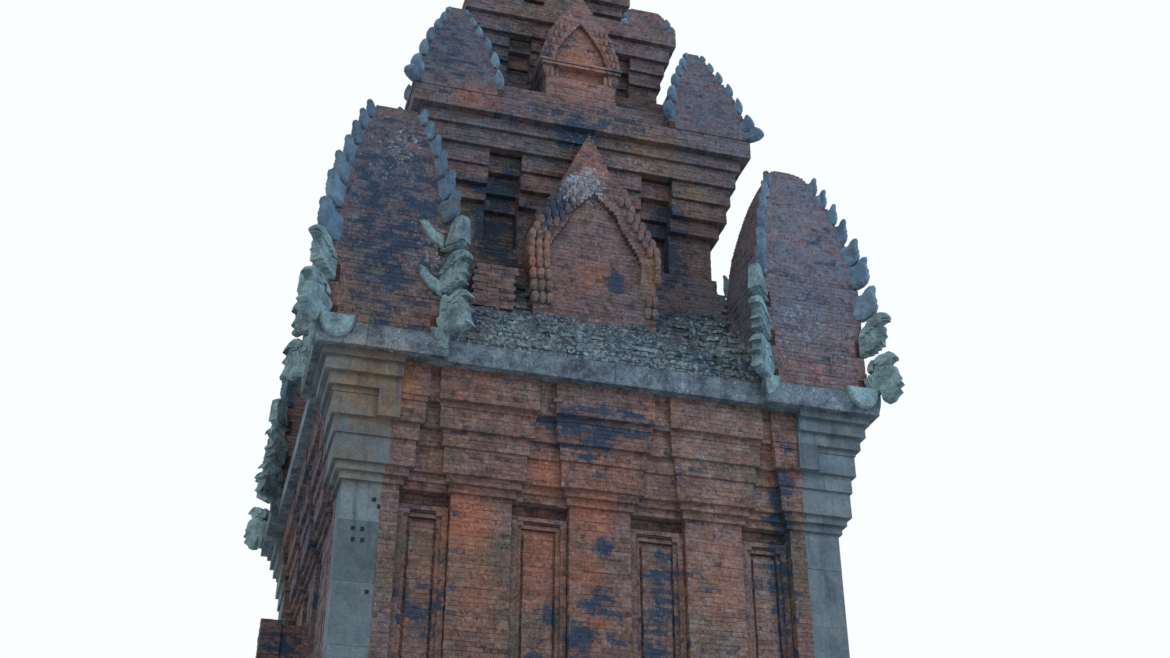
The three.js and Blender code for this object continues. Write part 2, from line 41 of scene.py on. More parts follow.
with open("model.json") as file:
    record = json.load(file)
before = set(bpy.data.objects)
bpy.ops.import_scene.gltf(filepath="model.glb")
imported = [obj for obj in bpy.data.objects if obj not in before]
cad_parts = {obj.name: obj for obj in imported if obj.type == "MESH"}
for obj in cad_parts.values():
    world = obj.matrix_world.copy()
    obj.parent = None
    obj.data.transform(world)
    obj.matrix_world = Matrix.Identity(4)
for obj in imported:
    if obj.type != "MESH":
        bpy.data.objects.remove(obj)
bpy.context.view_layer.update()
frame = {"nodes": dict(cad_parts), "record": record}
CAD_NODES = frame["nodes"]
SIDES = ("front", "right", "back", "left")
CORNERS = ("front_left", "front_right", "back_right", "back_left")
# Cosine and sine of the quarter turn that brings the front to each side
QUARTERS = ((1, 0), (0, 1), (-1, 0), (0, -1))

WALLS = {
    "front": ("front_wall_left", "front_wall_right", "front_wall_over_door"),
    "right": ("right_wall",),
    "back": ("back_wall",),
    "left": ("left_wall",),
}
# Half width of the hollow inside a node, whose faces stay bare
HOLLOW = {"ledge": 1.72, "storey_1_wall": 1.52, "storey_3_wall": 0.54, "main_cornice": 1.87}
HOLLOW.update({f"storey_2_{side}": 0.92 for side in SIDES})
STOREYS = {
    1: ("storey_1_wall",),
    2: tuple(f"storey_2_{side}" for side in SIDES),
    3: ("storey_3_wall",),
}
CHAMBER_HALF = 2.01
DOORWAY = ("door_jamb_left", "door_jamb_right", "door_lintel")
# Blocks of the plinth, steps and doorway: nodes, seed, height of a course, length and depth of a block
BLOCKWORK = {
    "plinth_blocks": (("plinth",), 42, 0.26, 0.7, 0.3),
    "step_blocks": (("entrance_steps",), 43, 0.2, 0.75, 0.3),
    "doorway_blocks": (DOORWAY, 44, 0.85, 2.2, 0.1),
}
SLAB_COURSE = 0.4
SLAB_DEPTH = 0.42

# Faces that get bricks: the most they lean, how square they stand, and the least that counts
STEEPEST = 0.78
SQUARE_TO = 0.05
SAME_SPAN = 0.004
NARROWEST = 0.02
LOWEST_FACE = 0.03
# Shortest brick as a share of a common one, the share of sunk bricks and how far back they sit
SHORTEST_BRICK = 0.25
SUNK_SHARE = 0.03
SUNK_BACK = (0.002, 0.007)
CHIP_SCALE = 7.0
# How far off a face a neighbour is looked for, and the shares of a thin wall that a brick and its dent take
OFF_FACE = 0.006
BEHIND_FACE = 0.004
THIN_SHARE = 0.6
DENT_SHARE = 0.3
# Height of the last course of blocks of a pier, and how the blocks lie
CAPITAL_TOP = 0.55
STONE_PROUD = 0.006
STONE_UNEVEN = 0.004
STONE_CHIP = 0.002

# Ledge: foot, height of a step, half width at the foot, number of steps and how many go in by a metre
LEDGE_FOOT = 10.03
LEDGE_STEP = 0.24
LEDGE_HALF = 3.82
LEDGE_STEPS = 7
LEDGE_STEPS_A_METRE = 6
RUBBLE_A_STEP = 80
RUBBLE_ON_TOP = 30
RUBBLE_REACH = 2.3
RUBBLE_SIZES = ((0.06, 0.17), (0.06, 0.13), (0.04, 0.08))
# Stub of a broken brick pier: its left, front and foot, its bricks, its courses, the one where it starts to
# narrow and how much a course, and how far every other course is shifted
STUB_PLACE = (-1.87, -3.0, 11.08)
STUB_BRICK = (0.21, 0.5, 0.066)
STUB_COURSES = 11
STUB_WORN_FROM = 7
STUB_INSET = 0.02
STUB_BOND = 0.03

# Ridges of a turret are numbered from the inner one round; a top at this height isn't worn off
INNER_RIDGE = 0
OUTER_RIDGE = 2
UNWORN = 99.0
LEAF_PROUD = 0.05
# Least width of a leaf, how far below a worn top leaves end, and how much each may differ
LEAF_LEAST = 0.12
LEAF_BELOW_TOP = 0.15
LEAF_WIDTHS = (0.95, 1.05)
LEAF_HEIGHTS = (0.97, 1.03)
LEAF_SWELL = 1.1

# Turrets in metres: distance of the axis, profile of height and half width, and leaves from the top down as
# tip, reach, height and thickness, with those of the inner ridge, the lowest tips, and the reach at the sides
TURRETS = {
    1: {
        "at": 3.19,
        "profile": [
            (10.03, 0.78), (10.42, 0.78), (10.42, 0.765), (12.05, 0.785), (12.65, 0.7), (13.06, 0.635),
            (13.5, 0.53), (13.92, 0.4), (14.23, 0.27), (14.4, 0.11),
        ],
        "leaves": [
            (14.15, 3.64, 0.30, 0.09), (13.88, 3.74, 0.33, 0.09), (13.55, 3.84, 0.37, 0.1),
            (13.21, 3.935, 0.42, 0.11), (12.80, 4.05, 0.45, 0.12), (12.40, 4.13, 0.46, 0.13),
            (11.87, 4.19, 0.50, 0.15),
        ],
        "inner": (4, 5),
        "lowest": 12.0,
        "lowest_outer": 11.5,
        "side": 0.82,
        "near": 0.98,
        "worn": {"front_left": 14.17},
    },
    2: {
        "at": 2.15,
        "profile": [
            (15.3, 0.725), (15.5, 0.715), (15.52, 0.69), (16.1, 0.6), (16.58, 0.455), (17.02, 0.29),
            (17.42, 0.16), (17.57, 0.08),
        ],
        "leaves": [
            (17.53, 2.345, 0.16, 0.07), (17.30, 2.45, 0.24, 0.08), (17.03, 2.56, 0.27, 0.09),
            (16.69, 2.69, 0.31, 0.1), (16.30, 2.80, 0.34, 0.11), (15.88, 2.93, 0.36, 0.13),
            (15.56, 3.04, 0.25, 0.15),
        ],
        "inner": (3,),
        "lowest": 15.7,
        "lowest_outer": 0.0,
        "side": 1.05,
        "near": 0.9,
        "worn": {},
    },
    3: {
        "at": 1.44,
        "profile": [(18.3, 0.42), (18.45, 0.415), (18.75, 0.34), (19.05, 0.23), (19.3, 0.11), (19.4, 0.05)],
        "leaves": [
            (19.36, 1.54, 0.12, 0.055), (19.15, 1.68, 0.18, 0.06), (18.92, 1.79, 0.2, 0.065),
            (18.68, 1.88, 0.21, 0.075), (18.46, 1.94, 0.15, 0.085),
        ],
        "inner": (),
        "lowest": 0.0,
        "lowest_outer": 0.0,
        "side": 1.0,
        "worn": {"front_right": 18.86},
    },
}
CROWN = {
    "at": 0.0,
    "profile": [
        (19.6, 0.76), (19.78, 0.755), (19.79, 0.7), (20.15, 0.67), (20.55, 0.49), (20.75, 0.32),
        (20.88, 0.15), (20.94, 0.06),
    ],
    "leaves": [
        (20.86, 0.33, 0.13, 0.06), (20.69, 0.52, 0.18, 0.065), (20.48, 0.68, 0.21, 0.07),
        (20.24, 0.80, 0.22, 0.08), (19.99, 0.88, 0.3, 0.1),
    ],
    "inner": (),
    "lowest": 0.0,
    "lowest_outer": 0.0,
    "side": 1.0,
    "worn": {},
}

# Outline of one leaf: 0 at the ridge and 1 at its farthest, 0 at the foot and 1 at the tip
LEAF_OUTLINE = [
    (-0.5, -0.04), (0.15, -0.1), (0.55, -0.04), (0.82, 0.08), (0.93, 0.22), (1.0, 0.34), (0.93, 0.42),
    (0.99, 0.54), (0.89, 0.6), (0.92, 0.72), (0.84, 0.8), (0.97, 0.99), (0.7, 1.0), (0.46, 0.9),
    (0.28, 0.76), (-0.5, 0.72),
]
# Outline of a bud of the higher turrets, in the same shares
BUD_OUTLINE = [
    (-0.5, 0.06), (0.2, -0.02), (0.7, 0.02), (1.0, 0.22), (1.02, 0.45), (0.86, 0.7), (0.62, 0.9), (0.46, 1.0),
    (0.28, 0.88), (0.1, 0.66), (-0.5, 0.5),
]
# Combed strands of the carvings: steps along one, width, half width of its tip, and how far a carving's three
# copies of a strand stand apart
CARVING_THICK = 0.15
STRAND_STEPS = 5
STRAND_WIDE = 0.017
STRAND_TIP = 0.006
STRAND_THICK = 1.3 * CARVING_THICK
STRAND_SPREAD = (-0.03, 0.0, 0.03)
# Carvings of the ridges, as distance from the turret's axis along the ridge and height.
# Strands, as foot, lean in degrees, length and how far they curl in radians
PLATE = [
    (1.05, 11.42), (1.16, 11.42), (1.177, 11.573), (1.21, 11.731), (1.254, 11.851), (1.317, 11.915),
    (1.401, 11.918), (1.461, 11.867), (1.484, 11.742), (1.474, 11.611), (1.462, 11.515), (1.424, 11.452),
    (1.359, 11.423), (1.2, 11.39),
]
PLATE_STRANDS = [
    (1.21, 11.46, 82, 0.38, -0.6), (1.28, 11.45, 85, 0.43, -0.5), (1.35, 11.46, 88, 0.43, -0.4),
    (1.42, 11.48, 90, 0.38, -0.2),
]
UPPER_BEAST = [
    (1.185, 10.702), (1.1, 10.734), (1.085, 10.877), (1.065, 11.013), (1.095, 11.119), (1.157, 11.198),
    (1.219, 11.277), (1.298, 11.335), (1.38, 11.35), (1.463, 11.329), (1.532, 11.261), (1.555, 11.172),
    (1.484, 11.235), (1.434, 11.242), (1.412, 11.2), (1.424, 11.131), (1.444, 11.043), (1.53, 10.92),
    (1.451, 10.93), (1.437, 10.868), (1.503, 10.775), (1.393, 10.79), (1.346, 10.751), (1.266, 10.726),
]
UPPER_BEAST_STRANDS = [
    (1.2, 10.74, 104, 0.3, -0.4), (1.26, 10.76, 98, 0.34, -0.4), (1.32, 10.8, 92, 0.34, -0.4),
    (1.38, 10.84, 84, 0.28, -0.4), (1.13, 11.0, 80, 0.27, -0.9), (1.2, 11.06, 72, 0.28, -1.0),
    (1.27, 11.1, 64, 0.26, -1.2), (1.34, 11.14, 55, 0.22, -1.5),
]
LOWER_BEAST = [
    (1.305, 10.603), (1.366, 10.681), (1.446, 10.688), (1.529, 10.64), (1.597, 10.564), (1.632, 10.498),
    (1.558, 10.547), (1.5, 10.574), (1.477, 10.549), (1.505, 10.481), (1.54, 10.407), (1.625, 10.33),
    (1.55, 10.32), (1.558, 10.215), (1.635, 10.07), (1.554, 10.123), (1.525, 10.069), (1.431, 10.049),
    (1.363, 10.08), (1.1, 10.05), (1.1, 10.3), (1.1, 10.55), (1.131, 10.654), (1.187, 10.67), (1.256, 10.601),
]
LOWER_BEAST_STRANDS = [
    (1.3, 10.5, 80, 0.28, -1.9), (1.37, 10.46, 74, 0.24, -2.0), (1.2, 10.4, 95, 0.22, -0.9),
    (1.34, 10.44, -98, 0.36, 0.8), (1.41, 10.44, -92, 0.36, 0.6), (1.48, 10.42, -86, 0.34, 0.4),
    (1.27, 10.36, -102, 0.28, 0.9), (1.2, 10.34, -106, 0.24, 1.0), (1.14, 10.3, -100, 0.2, 0.9),
]
OUTER_UPPER_BEAST = [
    (1.05, 10.7), (1.05, 11.0), (1.1, 11.02), (1.15, 11.1), (1.18, 11.2), (1.23, 11.29), (1.31, 11.32),
    (1.37, 11.37), (1.44, 11.37), (1.52, 11.34), (1.57, 11.28), (1.54, 11.25), (1.46, 11.26), (1.42, 11.17),
    (1.47, 11.1), (1.45, 11.04), (1.49, 10.98), (1.44, 10.94), (1.44, 10.89), (1.35, 10.82), (1.24, 10.76),
    (1.12, 10.7),
]
OUTER_LOWER_BEAST = [
    (1.1, 10.05), (1.1, 10.2), (1.19, 10.24), (1.22, 10.34), (1.25, 10.47), (1.28, 10.54), (1.33, 10.58),
    (1.4, 10.66), (1.49, 10.69), (1.56, 10.64), (1.61, 10.57), (1.57, 10.56), (1.52, 10.53), (1.49, 10.44),
    (1.58, 10.4), (1.6, 10.29), (1.63, 10.24), (1.6, 10.19), (1.65, 10.12), (1.57, 10.07), (1.62, 10.0),
    (1.55, 9.95), (1.5, 9.88), (1.4, 9.86), (1.32, 9.93), (1.3, 10.05),
]
CARVINGS = {
    1: ((LOWER_BEAST, LOWER_BEAST_STRANDS), (UPPER_BEAST, UPPER_BEAST_STRANDS), (PLATE, PLATE_STRANDS)),
    2: ((OUTER_LOWER_BEAST, LOWER_BEAST_STRANDS), (OUTER_UPPER_BEAST, UPPER_BEAST_STRANDS)),
}
CARVINGS[3] = CARVINGS[1]
# A wing beside a carving, in the plane of the wall that ends at the ridge, and the feet of the two wings
WING_FEET = (10.67, 11.43)
WING = [
    (0.0, 0.22), (-0.12, 0.28), (-0.2, 0.34), (-0.26, 0.44), (-0.33, 0.47), (-0.35, 0.41), (-0.33, 0.31),
    (-0.26, 0.2), (-0.16, 0.1), (-0.06, 0.03), (0.0, 0.0),
]

# Rim of the first niche as half width and height, its scales, how far in they stand and the next column
# further in, and the share that is lost on the right
NICHE_1_RIM = [
    (0.98, 11.3), (1.0, 11.62), (1.03, 11.94), (1.05, 12.18), (1.035, 12.44), (0.93, 12.66), (0.80, 12.88),
    (0.67, 13.10), (0.57, 13.33), (0.48, 13.55),
]
NICHE_1_FACE = 3.29
RIM_SCALES = 14
RIM_START = 0.1
RIM_REACH = 8.4
SCALE_SIZE = (0.125, 0.12, 0.215)
SCALE_INSET = 0.05
SCALE_COLUMN = 0.115
LOST_SCALES = 0.25

# Side of the second niche, as height and half width, the mouldings across its foot and the lobes beside it
NICHE_2_SIDE = [(16.42, 0.65), (16.68, 0.7), (16.9, 0.67), (17.08, 0.61), (17.25, 0.57), (17.6, 0.38)]
NICHE_2_MOULDINGS = [(16.53, 0.7), (16.61, 0.72)]
MOULDING_FACE = 2.45
MOULDING_BRICKS = 5
MOULDING_DEEP = 0.16
MOULDING_HIGH = 0.05
LOBE_FACE = 2.475
LOBE_SIZE = (0.075, 0.09, 0.165)
LOBE_COUNT = 5
LOBE_FOOT = 16.73
LOBE_STEP = 0.17
LOBE_INSET = 0.035
LOBE_COLUMN = 0.085
FOOT_LOBE_FACE = 2.47
FOOT_LOBE_AT = (0.6, 16.36)
FOOT_LOBE_SIZE = (0.07, 0.08, 0.22)

# Half-round stone at a corner of the slab course and wedge beside it: outline, and place across, out and up
BOWL = [(0.24 * math.cos(a), 0.3 * math.sin(a)) for a in (math.pi * k / 10 for k in range(10, 21))]
BOWL = [(-0.24, 0.05)] + BOWL + [(0.24, 0.05)]
BOWL_PLACE = (3.82, 4.06, 10.06)
WEDGE = [(-0.14, 0.14), (-0.1, -0.02), (0.0, -0.17), (0.1, -0.22), (0.13, 0.02), (0.12, 0.14)]
WEDGE_PLACE = (2.42, 4.0, 10.0)

# Dowel holes in the front left pier, drawn as near-black boxes of painted shade on its face: across and up
DOWEL_HOLES = [
    (-3.31, 7.34), (-3.19, 7.34), (-3.3, 7.19), (-3.18, 7.19), (-3.07, 7.76), (-3.0, 7.67), (-3.07, 6.51),
]
HOLE_FACE = 3.504
HOLE_SIZE = (0.05, 0.012, 0.055)

# Stains and wear, each as centre, reach along x, y and z, and strength. Dark mould
SOOT = [
    ((-0.2, -3.6, 9.1), (0.9, 0.7, 0.45), 1.0),
    ((0.07, -3.5, 7.5), (0.2, 0.3, 0.25), 1.0),
    ((0.05, -3.5, 6.68), (0.32, 0.3, 0.26), 1.0),
    ((-0.34, -3.5, 6.15), (0.34, 0.3, 0.24), 1.0),
    ((0.26, -3.5, 6.2), (0.25, 0.3, 0.25), 0.8),
    ((-0.65, -3.4, 6.45), (0.22, 0.3, 0.3), 0.9),
    ((0.95, -3.3, 6.9), (0.35, 0.4, 0.9), 0.75),
    ((0.75, -3.3, 6.0), (0.3, 0.5, 0.8), 0.8),
    ((-2.36, -3.3, 6.4), (0.35, 0.4, 0.5), 0.8),
    ((-0.85, -3.4, 5.7), (0.6, 0.5, 0.4), 0.9),
    ((2.62, -3.5, 7.6), (0.2, 0.6, 2.6), 1.0),
    ((-1.3, -2.4, 13.2), (0.5, 0.6, 1.2), 1.5),
    ((1.5, -2.4, 13.3), (0.45, 0.6, 1.2), 1.2),
    ((0.0, -2.8, 15.2), (1.4, 0.5, 0.35), 0.8),
    ((-3.4, -4.0, 11.6), (0.35, 0.5, 1.9), 0.9),
    ((-3.1, -4.0, 12.2), (0.9, 0.5, 2.6), 0.9),
    ((-2.6, -4.0, 11.0), (0.5, 0.5, 0.9), 0.5),
    ((-2.4, -2.9, 16.3), (0.8, 0.6, 1.3), 0.65),
    ((-0.2, -2.8, 14.85), (0.45, 0.4, 0.35), 1.5),
    ((-0.75, -3.3, 13.3), (0.35, 0.4, 0.7), 1.3),
    ((0.3, -3.2, 11.85), (0.2, 0.4, 0.3), 1.3),
    ((-1.0, -2.0, 16.9), (0.6, 0.6, 0.9), 0.9),
    ((0.9, -2.0, 16.6), (0.4, 0.6, 0.7), 0.6),
    ((-3.9, 0.0, 8.0), (0.8, 4.0, 2.6), 0.8),
    ((3.9, 0.4, 8.2), (0.7, 2.6, 1.3), 0.8),
    ((0.5, 3.9, 8.4), (2.2, 0.8, 1.0), 0.8),
    ((0.0, 2.6, 13.0), (1.6, 0.7, 1.2), 0.8),
    ((2.6, 0.2, 13.2), (0.7, 1.5, 1.2), 0.8),
    ((0.0, 0.0, 1.2), (6.0, 6.0, 0.9), 0.7),
]
# Clean brick
FRESH = [
    ((-1.8, -3.45, 7.6), (0.36, 0.35, 0.5), 1.0),
    ((-1.65, -3.5, 6.7), (0.3, 0.4, 0.5), 0.5),
    ((1.75, -3.45, 7.2), (0.35, 0.4, 0.6), 0.35),
    ((-2.9, -3.8, 9.35), (0.28, 0.5, 0.45), 0.8),
    ((-0.8, -3.4, 8.4), (0.3, 0.35, 0.35), 1.0),
    ((-0.8, -3.3, 7.3), (0.35, 0.35, 0.7), 0.6),
    ((-0.1, -3.5, 7.95), (0.4, 0.3, 0.5), 0.7),
    ((-0.2, -3.5, 7.1), (0.3, 0.3, 0.3), 0.7),
    ((-0.05, -3.5, 6.4), (0.2, 0.3, 0.12), 0.6),
    ((0.0, -2.5, 16.9), (0.75, 0.5, 1.2), 0.6),
    ((0.0, -3.3, 14.2), (0.4, 0.5, 0.6), 0.6),
    ((-0.1, -3.3, 11.9), (0.7, 0.4, 0.5), 0.4),
    ((-0.95, -3.3, 12.4), (0.4, 0.4, 0.9), 0.55),
    ((1.1, -2.8, 14.8), (0.6, 0.4, 0.4), 0.5),
    ((-1.9, -2.8, 15.2), (0.5, 0.4, 0.3), 0.7),
    ((1.0, -3.3, 12.2), (0.3, 0.4, 0.7), 0.35),
    ((2.8, 3.5, 7.0), (0.8, 0.5, 1.2), 0.6),
    ((3.5, -1.6, 6.4), (0.5, 0.5, 1.2), 0.7),
]
# Brick gone grey-blue with age; the patch on the right front turret is painted blue sky light
GREY_AND_SKYLIT_PATCHES = [
    ((3.2, -3.3, 12.3), (1.4, 1.4, 2.6), 1.0),
    ((2.2, -2.2, 16.4), (1.3, 1.3, 1.9), 0.7),
    ((-2.2, -2.2, 16.4), (1.3, 1.3, 1.9), 1.0),
    ((-3.3, -3.3, 12.6), (1.3, 1.3, 2.4), 0.6),
    ((-3.2, 3.3, 12.3), (1.4, 1.4, 2.6), 0.8),
    ((3.2, 3.3, 12.3), (1.4, 1.4, 2.6), 0.8),
]
# Paler brick; the patch on the right front turret is painted sky light
LIGHT = [
    ((1.7, -3.5, 7.4), (0.6, 0.5, 1.7), 1.0),
    ((1.6, -3.7, 9.2), (1.2, 0.7, 0.8), 0.8),
    ((2.3, -3.3, 7.2), (0.35, 0.4, 1.5), 1.0),
    ((-0.9, -3.3, 12.2), (0.35, 0.4, 0.7), 0.8),
    ((0.0, -2.5, 16.9), (0.9, 0.5, 1.3), 1.4),
    ((3.2, -3.3, 12.3), (1.4, 1.4, 2.6), 1.4),
    ((1.6, -2.6, 16.9), (0.6, 0.5, 0.9), 0.8),
]
# Places where the face of the brickwork is broken
ROUGH = [
    ((-0.1, -3.5, 7.4), (0.9, 0.6, 3.2), 0.14),
    ((1.6, -3.5, 6.2), (0.6, 0.6, 1.4), 0.1),
    ((-2.4, -3.4, 6.6), (0.7, 0.6, 1.4), 0.1),
    ((-3.2, -4.0, 12.0), (0.9, 0.9, 2.6), 0.08),
    ((-4.0, 0.0, 7.0), (0.9, 3.0, 2.4), 0.12),
]
# Ochre stains, on stone and brick
OCHRE = [
    ((-3.2, -3.9, 9.2), (0.75, 0.8, 0.75), 1.0),
    ((-3.4, -3.6, 8.2), (0.5, 0.6, 0.35), 0.5),
    ((3.3, 3.7, 9.2), (0.7, 0.8, 0.7), 0.7),
    ((1.2, -2.8, 14.75), (0.8, 0.5, 0.4), 1.2),
    ((0.5, -2.8, 15.2), (0.7, 0.5, 0.2), 0.8),
    ((1.9, -2.7, 14.2), (0.5, 0.5, 0.4), 0.9),
    ((-0.15, -3.3, 13.0), (0.25, 0.4, 0.3), 1.0),
    ((1.0, -3.3, 12.2), (0.3, 0.4, 0.6), 0.9),
    ((-0.95, -3.3, 12.5), (0.35, 0.4, 0.6), 0.8),
]
# Pale growth; the patch at (2.0, -3.1, 10.9), on the right of the front ledge, is painted sky light
PALE = [
    ((0.0, -3.7, 10.4), (2.9, 0.9, 0.9), 0.7),
    ((3.7, 0.0, 10.6), (0.9, 2.8, 0.75), 0.7),
    ((-3.7, 0.0, 10.6), (0.9, 2.8, 0.75), 0.7),
    ((0.0, 3.7, 10.6), (2.8, 0.9, 0.75), 0.7),
    ((-2.6, -4.0, 11.6), (0.6, 0.6, 0.5), 0.8),
    ((-3.1, -3.9, 13.3), (0.7, 0.6, 0.7), 0.8),
    ((-0.2, -3.3, 13.5), (0.5, 0.5, 0.45), 1.7),
    ((3.0, -3.6, 10.9), (1.0, 0.7, 0.7), 0.9),
    ((2.0, -3.1, 10.9), (0.9, 0.9, 0.8), 0.9),
    ((0.6, -2.9, 14.6), (1.6, 0.5, 0.4), 0.5),
]

# Colours of stains, from the darkest to the palest brick or stone
WHITE = (1.0, 1.0, 1.0)
UNPAINTED = (0.8, 0.8, 0.8)
OLIVE = ((0.045, 0.042, 0.028), (0.17, 0.145, 0.09))
PINK = ((0.06, 0.036, 0.036), (0.24, 0.135, 0.12))
RUST = ((0.075, 0.043, 0.019), (0.33, 0.2, 0.085))
# Grey-blue of aged brick, also the painted sky light on the right front turret
AGE_AND_SKYLIT_GREY = ((0.028, 0.036, 0.048), (0.15, 0.155, 0.175))
BLACKENED = ((0.014, 0.013, 0.014), (0.06, 0.052, 0.05))
STONE_RUST = ((0.1, 0.065, 0.03), (0.26, 0.15, 0.07))
BROWNED_STONE = (0.12, 0.105, 0.09)
# Near-black painted shade of the dowel holes
HOLE_SHADE_COLOUR = (0.012, 0.013, 0.016)
# Shift between the pattern of the brick's hue and that of its other marks
HUE_OFFSET = (7.3, 2.1, 5.7)
BRICK_FINISHES = {
    "brick": dict(name="weathered_brick"),
    "ledge_brick": dict(name="ledge_brick", dark=0.1, grey=0.65, specks=0.06, tint=(0.86, 1.0, 0.94)),
}
STONE_FINISHES = {
    "stone": dict(name="grey_sandstone", share=0.9, lichened=0.2),
    "stone_core": dict(name="sandstone_joints", share=0.4, laid=False),
    "slab": dict(name="slab_sandstone", share=0.8, dirt=0.5, pale=0.2, lichened=0.8, mottled=0.9),
    "carved": dict(name="carved_sandstone", share=1.7, pale=0.3, mottled=0.75, tint=(0.8, 1.08, 1.02)),
    # Leaves: bluer and darker than the carvings, partly the stone's own colour and partly painted shade
    "leaf": dict(name="leaf_sandstone", pale=0.05, mottled=0.5, tint=(0.76, 1.0, 1.3)),
    "paving": dict(name="worn_paving", share=0.9, laid=False),
}

# The camera of the picture: place, the way it looks, its up, its lens and shift
EYE = (-5.2089, -20.7812, 0.3069)
LOOK_RIGHT = (0.96029, -0.279002, -0.001178)
LOOK_UP = (-0.139238, -0.482889, 0.864541)
LOOK_AHEAD = (0.241777, 0.830046, 0.502561)
PICTURE_WIDTH = 1170
FOCAL_PIXELS = 1435.96
SENSOR = 36.0
SHIFT = (-0.0028, 0.0009)
# Soft sun: strength, colour, how wide it looks and how it is turned, in degrees
SUN_STRENGTH = 0.55
SUN_COLOUR = (1.0, 0.97, 0.93)
SUN_WIDE = 35
SUN_TURN = (52, 0, -32)
# Soft light from the open sky on the right: strength, colour, size, place and what it faces
GLOW_STRENGTH = 1000.0
GLOW_COLOUR = (0.46, 0.8, 1.45)
GLOW_WIDE = 8.0
SIDE_GLOW = (13.0, -14.0, 17.0)
GLOW_TARGET = (3.0, -3.0, 11.0)
# The sky as it lights the tower and as the camera sees it, and the floor
SKY_LIGHT = (0.74, 0.88, 1.1)
SKY_SEEN = (0.96, 0.99, 1.0)
FLOOR_COLOUR = (0.72, 0.73, 0.74)
FLOOR_HALF = 90.0


def size_property(name, description, default):
    return bpy.props.FloatProperty(name=name, description=description, default=default, unit="LENGTH")


def colour_property(name, description, default):
    return bpy.props.FloatVectorProperty(
        name=name, description=description, default=default, size=3, subtype="COLOR"
    )


class BrickSettings(bpy.types.PropertyGroup):
    """Sizes of the bricks and how they are laid"""

    course: size_property("Course height", "Height of one course", 0.064)
    length: size_property("Brick length", "Length of a common brick", 0.26)
    depth: size_property("Brick depth", "How deep a brick sits in the wall", 0.16)
    joint: size_property("Joint", "Gap left round a brick", 0.004)
    proud: size_property("Stand out", "How far the bricks stand out of the solid wall", 0.012)
    uneven: size_property("Uneven", "Most that a brick stands in or out", 0.0035)
    chip: size_property("Chip", "How far worn corners wander", 0.004)
    missing: bpy.props.FloatProperty(
        name="Missing", description="Share of bricks that have fallen out", default=0.0, subtype="FACTOR"
    )


class StoneSettings(bpy.types.PropertyGroup):
    """Sizes of the stone blocks"""

    course: size_property("Course height", "Height of a course of blocks", 0.83)
    length: size_property("Block length", "Length of a block", 1.05)
    slab_length: size_property("Slab length", "Length of a stone of the slab course", 1.15)
    joint: size_property("Joint", "Gap left round a block", 0.005)


class ColourSettings(bpy.types.PropertyGroup):
    """Main colours"""

    brick: colour_property("Brick", "Common colour of the bricks", (0.2, 0.105, 0.07))
    fresh: colour_property("Fresh brick", "Brick where the face is clean", (0.38, 0.125, 0.066))
    soot: colour_property("Mould", "Dark mould in wet places", (0.02, 0.034, 0.052))
    lichen: colour_property("Lichen", "Pale lichen", (0.36, 0.38, 0.37))
    stone: colour_property("Stone", "Grey-green sandstone", (0.125, 0.15, 0.145))


# Meshes


def new_object(name, points, faces):
    mesh = bpy.data.meshes.new(name)
    mesh.from_pydata([tuple(p) for p in points], [], faces)
    mesh.update()
    obj = bpy.data.objects.new(name, mesh)
    bpy.context.scene.collection.objects.link(obj)
    return obj


def unit_block():
    """A block of one metre about its centre."""
    points = [(x, y, z) for x in (-0.5, 0.5) for y in (-0.5, 0.5) for z in (-0.5, 0.5)]
    faces = [(0, 1, 3, 2), (4, 6, 7, 5), (0, 4, 5, 1), (2, 3, 7, 6), (0, 2, 6, 4), (1, 5, 7, 3)]
    return points, faces


def tube_faces(around, rings):
    """Faces between rings of the same number of points."""
    faces = []
    for r in range(rings - 1):
        for k in range(around):
            a = r * around + k
            b = r * around + (k + 1) % around
            faces.append((a, b, b + around, a + around))
    return faces


def pillow(outline, thick, inset=0.8):
    """A plate with rounded edges from an outline of s and z, its thickness along y."""
    around = len(outline)
    s0, z0 = (sum(p[k] for p in outline) / around for k in (0, 1))
    points = []
    for y, share in ((-0.5, inset), (-0.28, 1.0), (0.28, 1.0), (0.5, inset)):
        for s, z in outline:
            points.append((s0 + (s - s0) * share, y * thick, z0 + (z - z0) * share))
    ends = [tuple(range(around - 1, -1, -1)), tuple(range(3 * around, 4 * around))]
    return points, tube_faces(around, 4) + ends


def ball(around=8, rows=5):
    """A low round boss, one metre across."""
    points = [(0, 0, -0.5)]
    for r in range(1, rows):
        a = math.pi * r / rows
        for k in range(around):
            b = 2 * math.pi * k / around
            points.append((math.sin(a) * math.cos(b) / 2, math.sin(a) * math.sin(b) / 2, -math.cos(a) / 2))
    points.append((0, 0, 0.5))
    top = len(points) - 1
    last = 1 + (rows - 2) * around
    faces = [(0, 1 + (k + 1) % around, 1 + k) for k in range(around)]
    faces += [tuple(i + 1 for i in face) for face in tube_faces(around, rows - 1)]
    faces += [(last + k, last + (k + 1) % around, top) for k in range(around)]
    return points, faces


def tongue(place, lean, length, hook):
    """Curved strand that tapers to a hooked tip; lean is its angle from level, in the plane of a ridge."""
    points = []
    s, z = place
    angle = lean
    for k in range(STRAND_STEPS + 1):
        share = 1.0 - (k / STRAND_STEPS) ** 1.5
        half = STRAND_WIDE / 2 * share + STRAND_TIP
        deep = STRAND_THICK / 2 * (0.45 + 0.55 * share)
        for side, y in ((-1, -deep), (1, -deep), (1, deep), (-1, deep)):
            points.append((s - math.sin(angle) * half * side, y, z + math.cos(angle) * half * side))
        s += math.cos(angle) * length / STRAND_STEPS
        z += math.sin(angle) * length / STRAND_STEPS
        angle += hook / STRAND_STEPS
    ends = [(0, 1, 2, 3), tuple(4 * STRAND_STEPS + i for i in (3, 2, 1, 0))]
    return points, tube_faces(4, STRAND_STEPS + 1) + ends


def join_parts(parts):
    """One list of points and one of faces from several."""
    points = []
    faces = []
    for more, more_faces in parts:
        base = len(points)
        points += more
        faces += [tuple(i + base for i in face) for face in more_faces]
    return points, faces


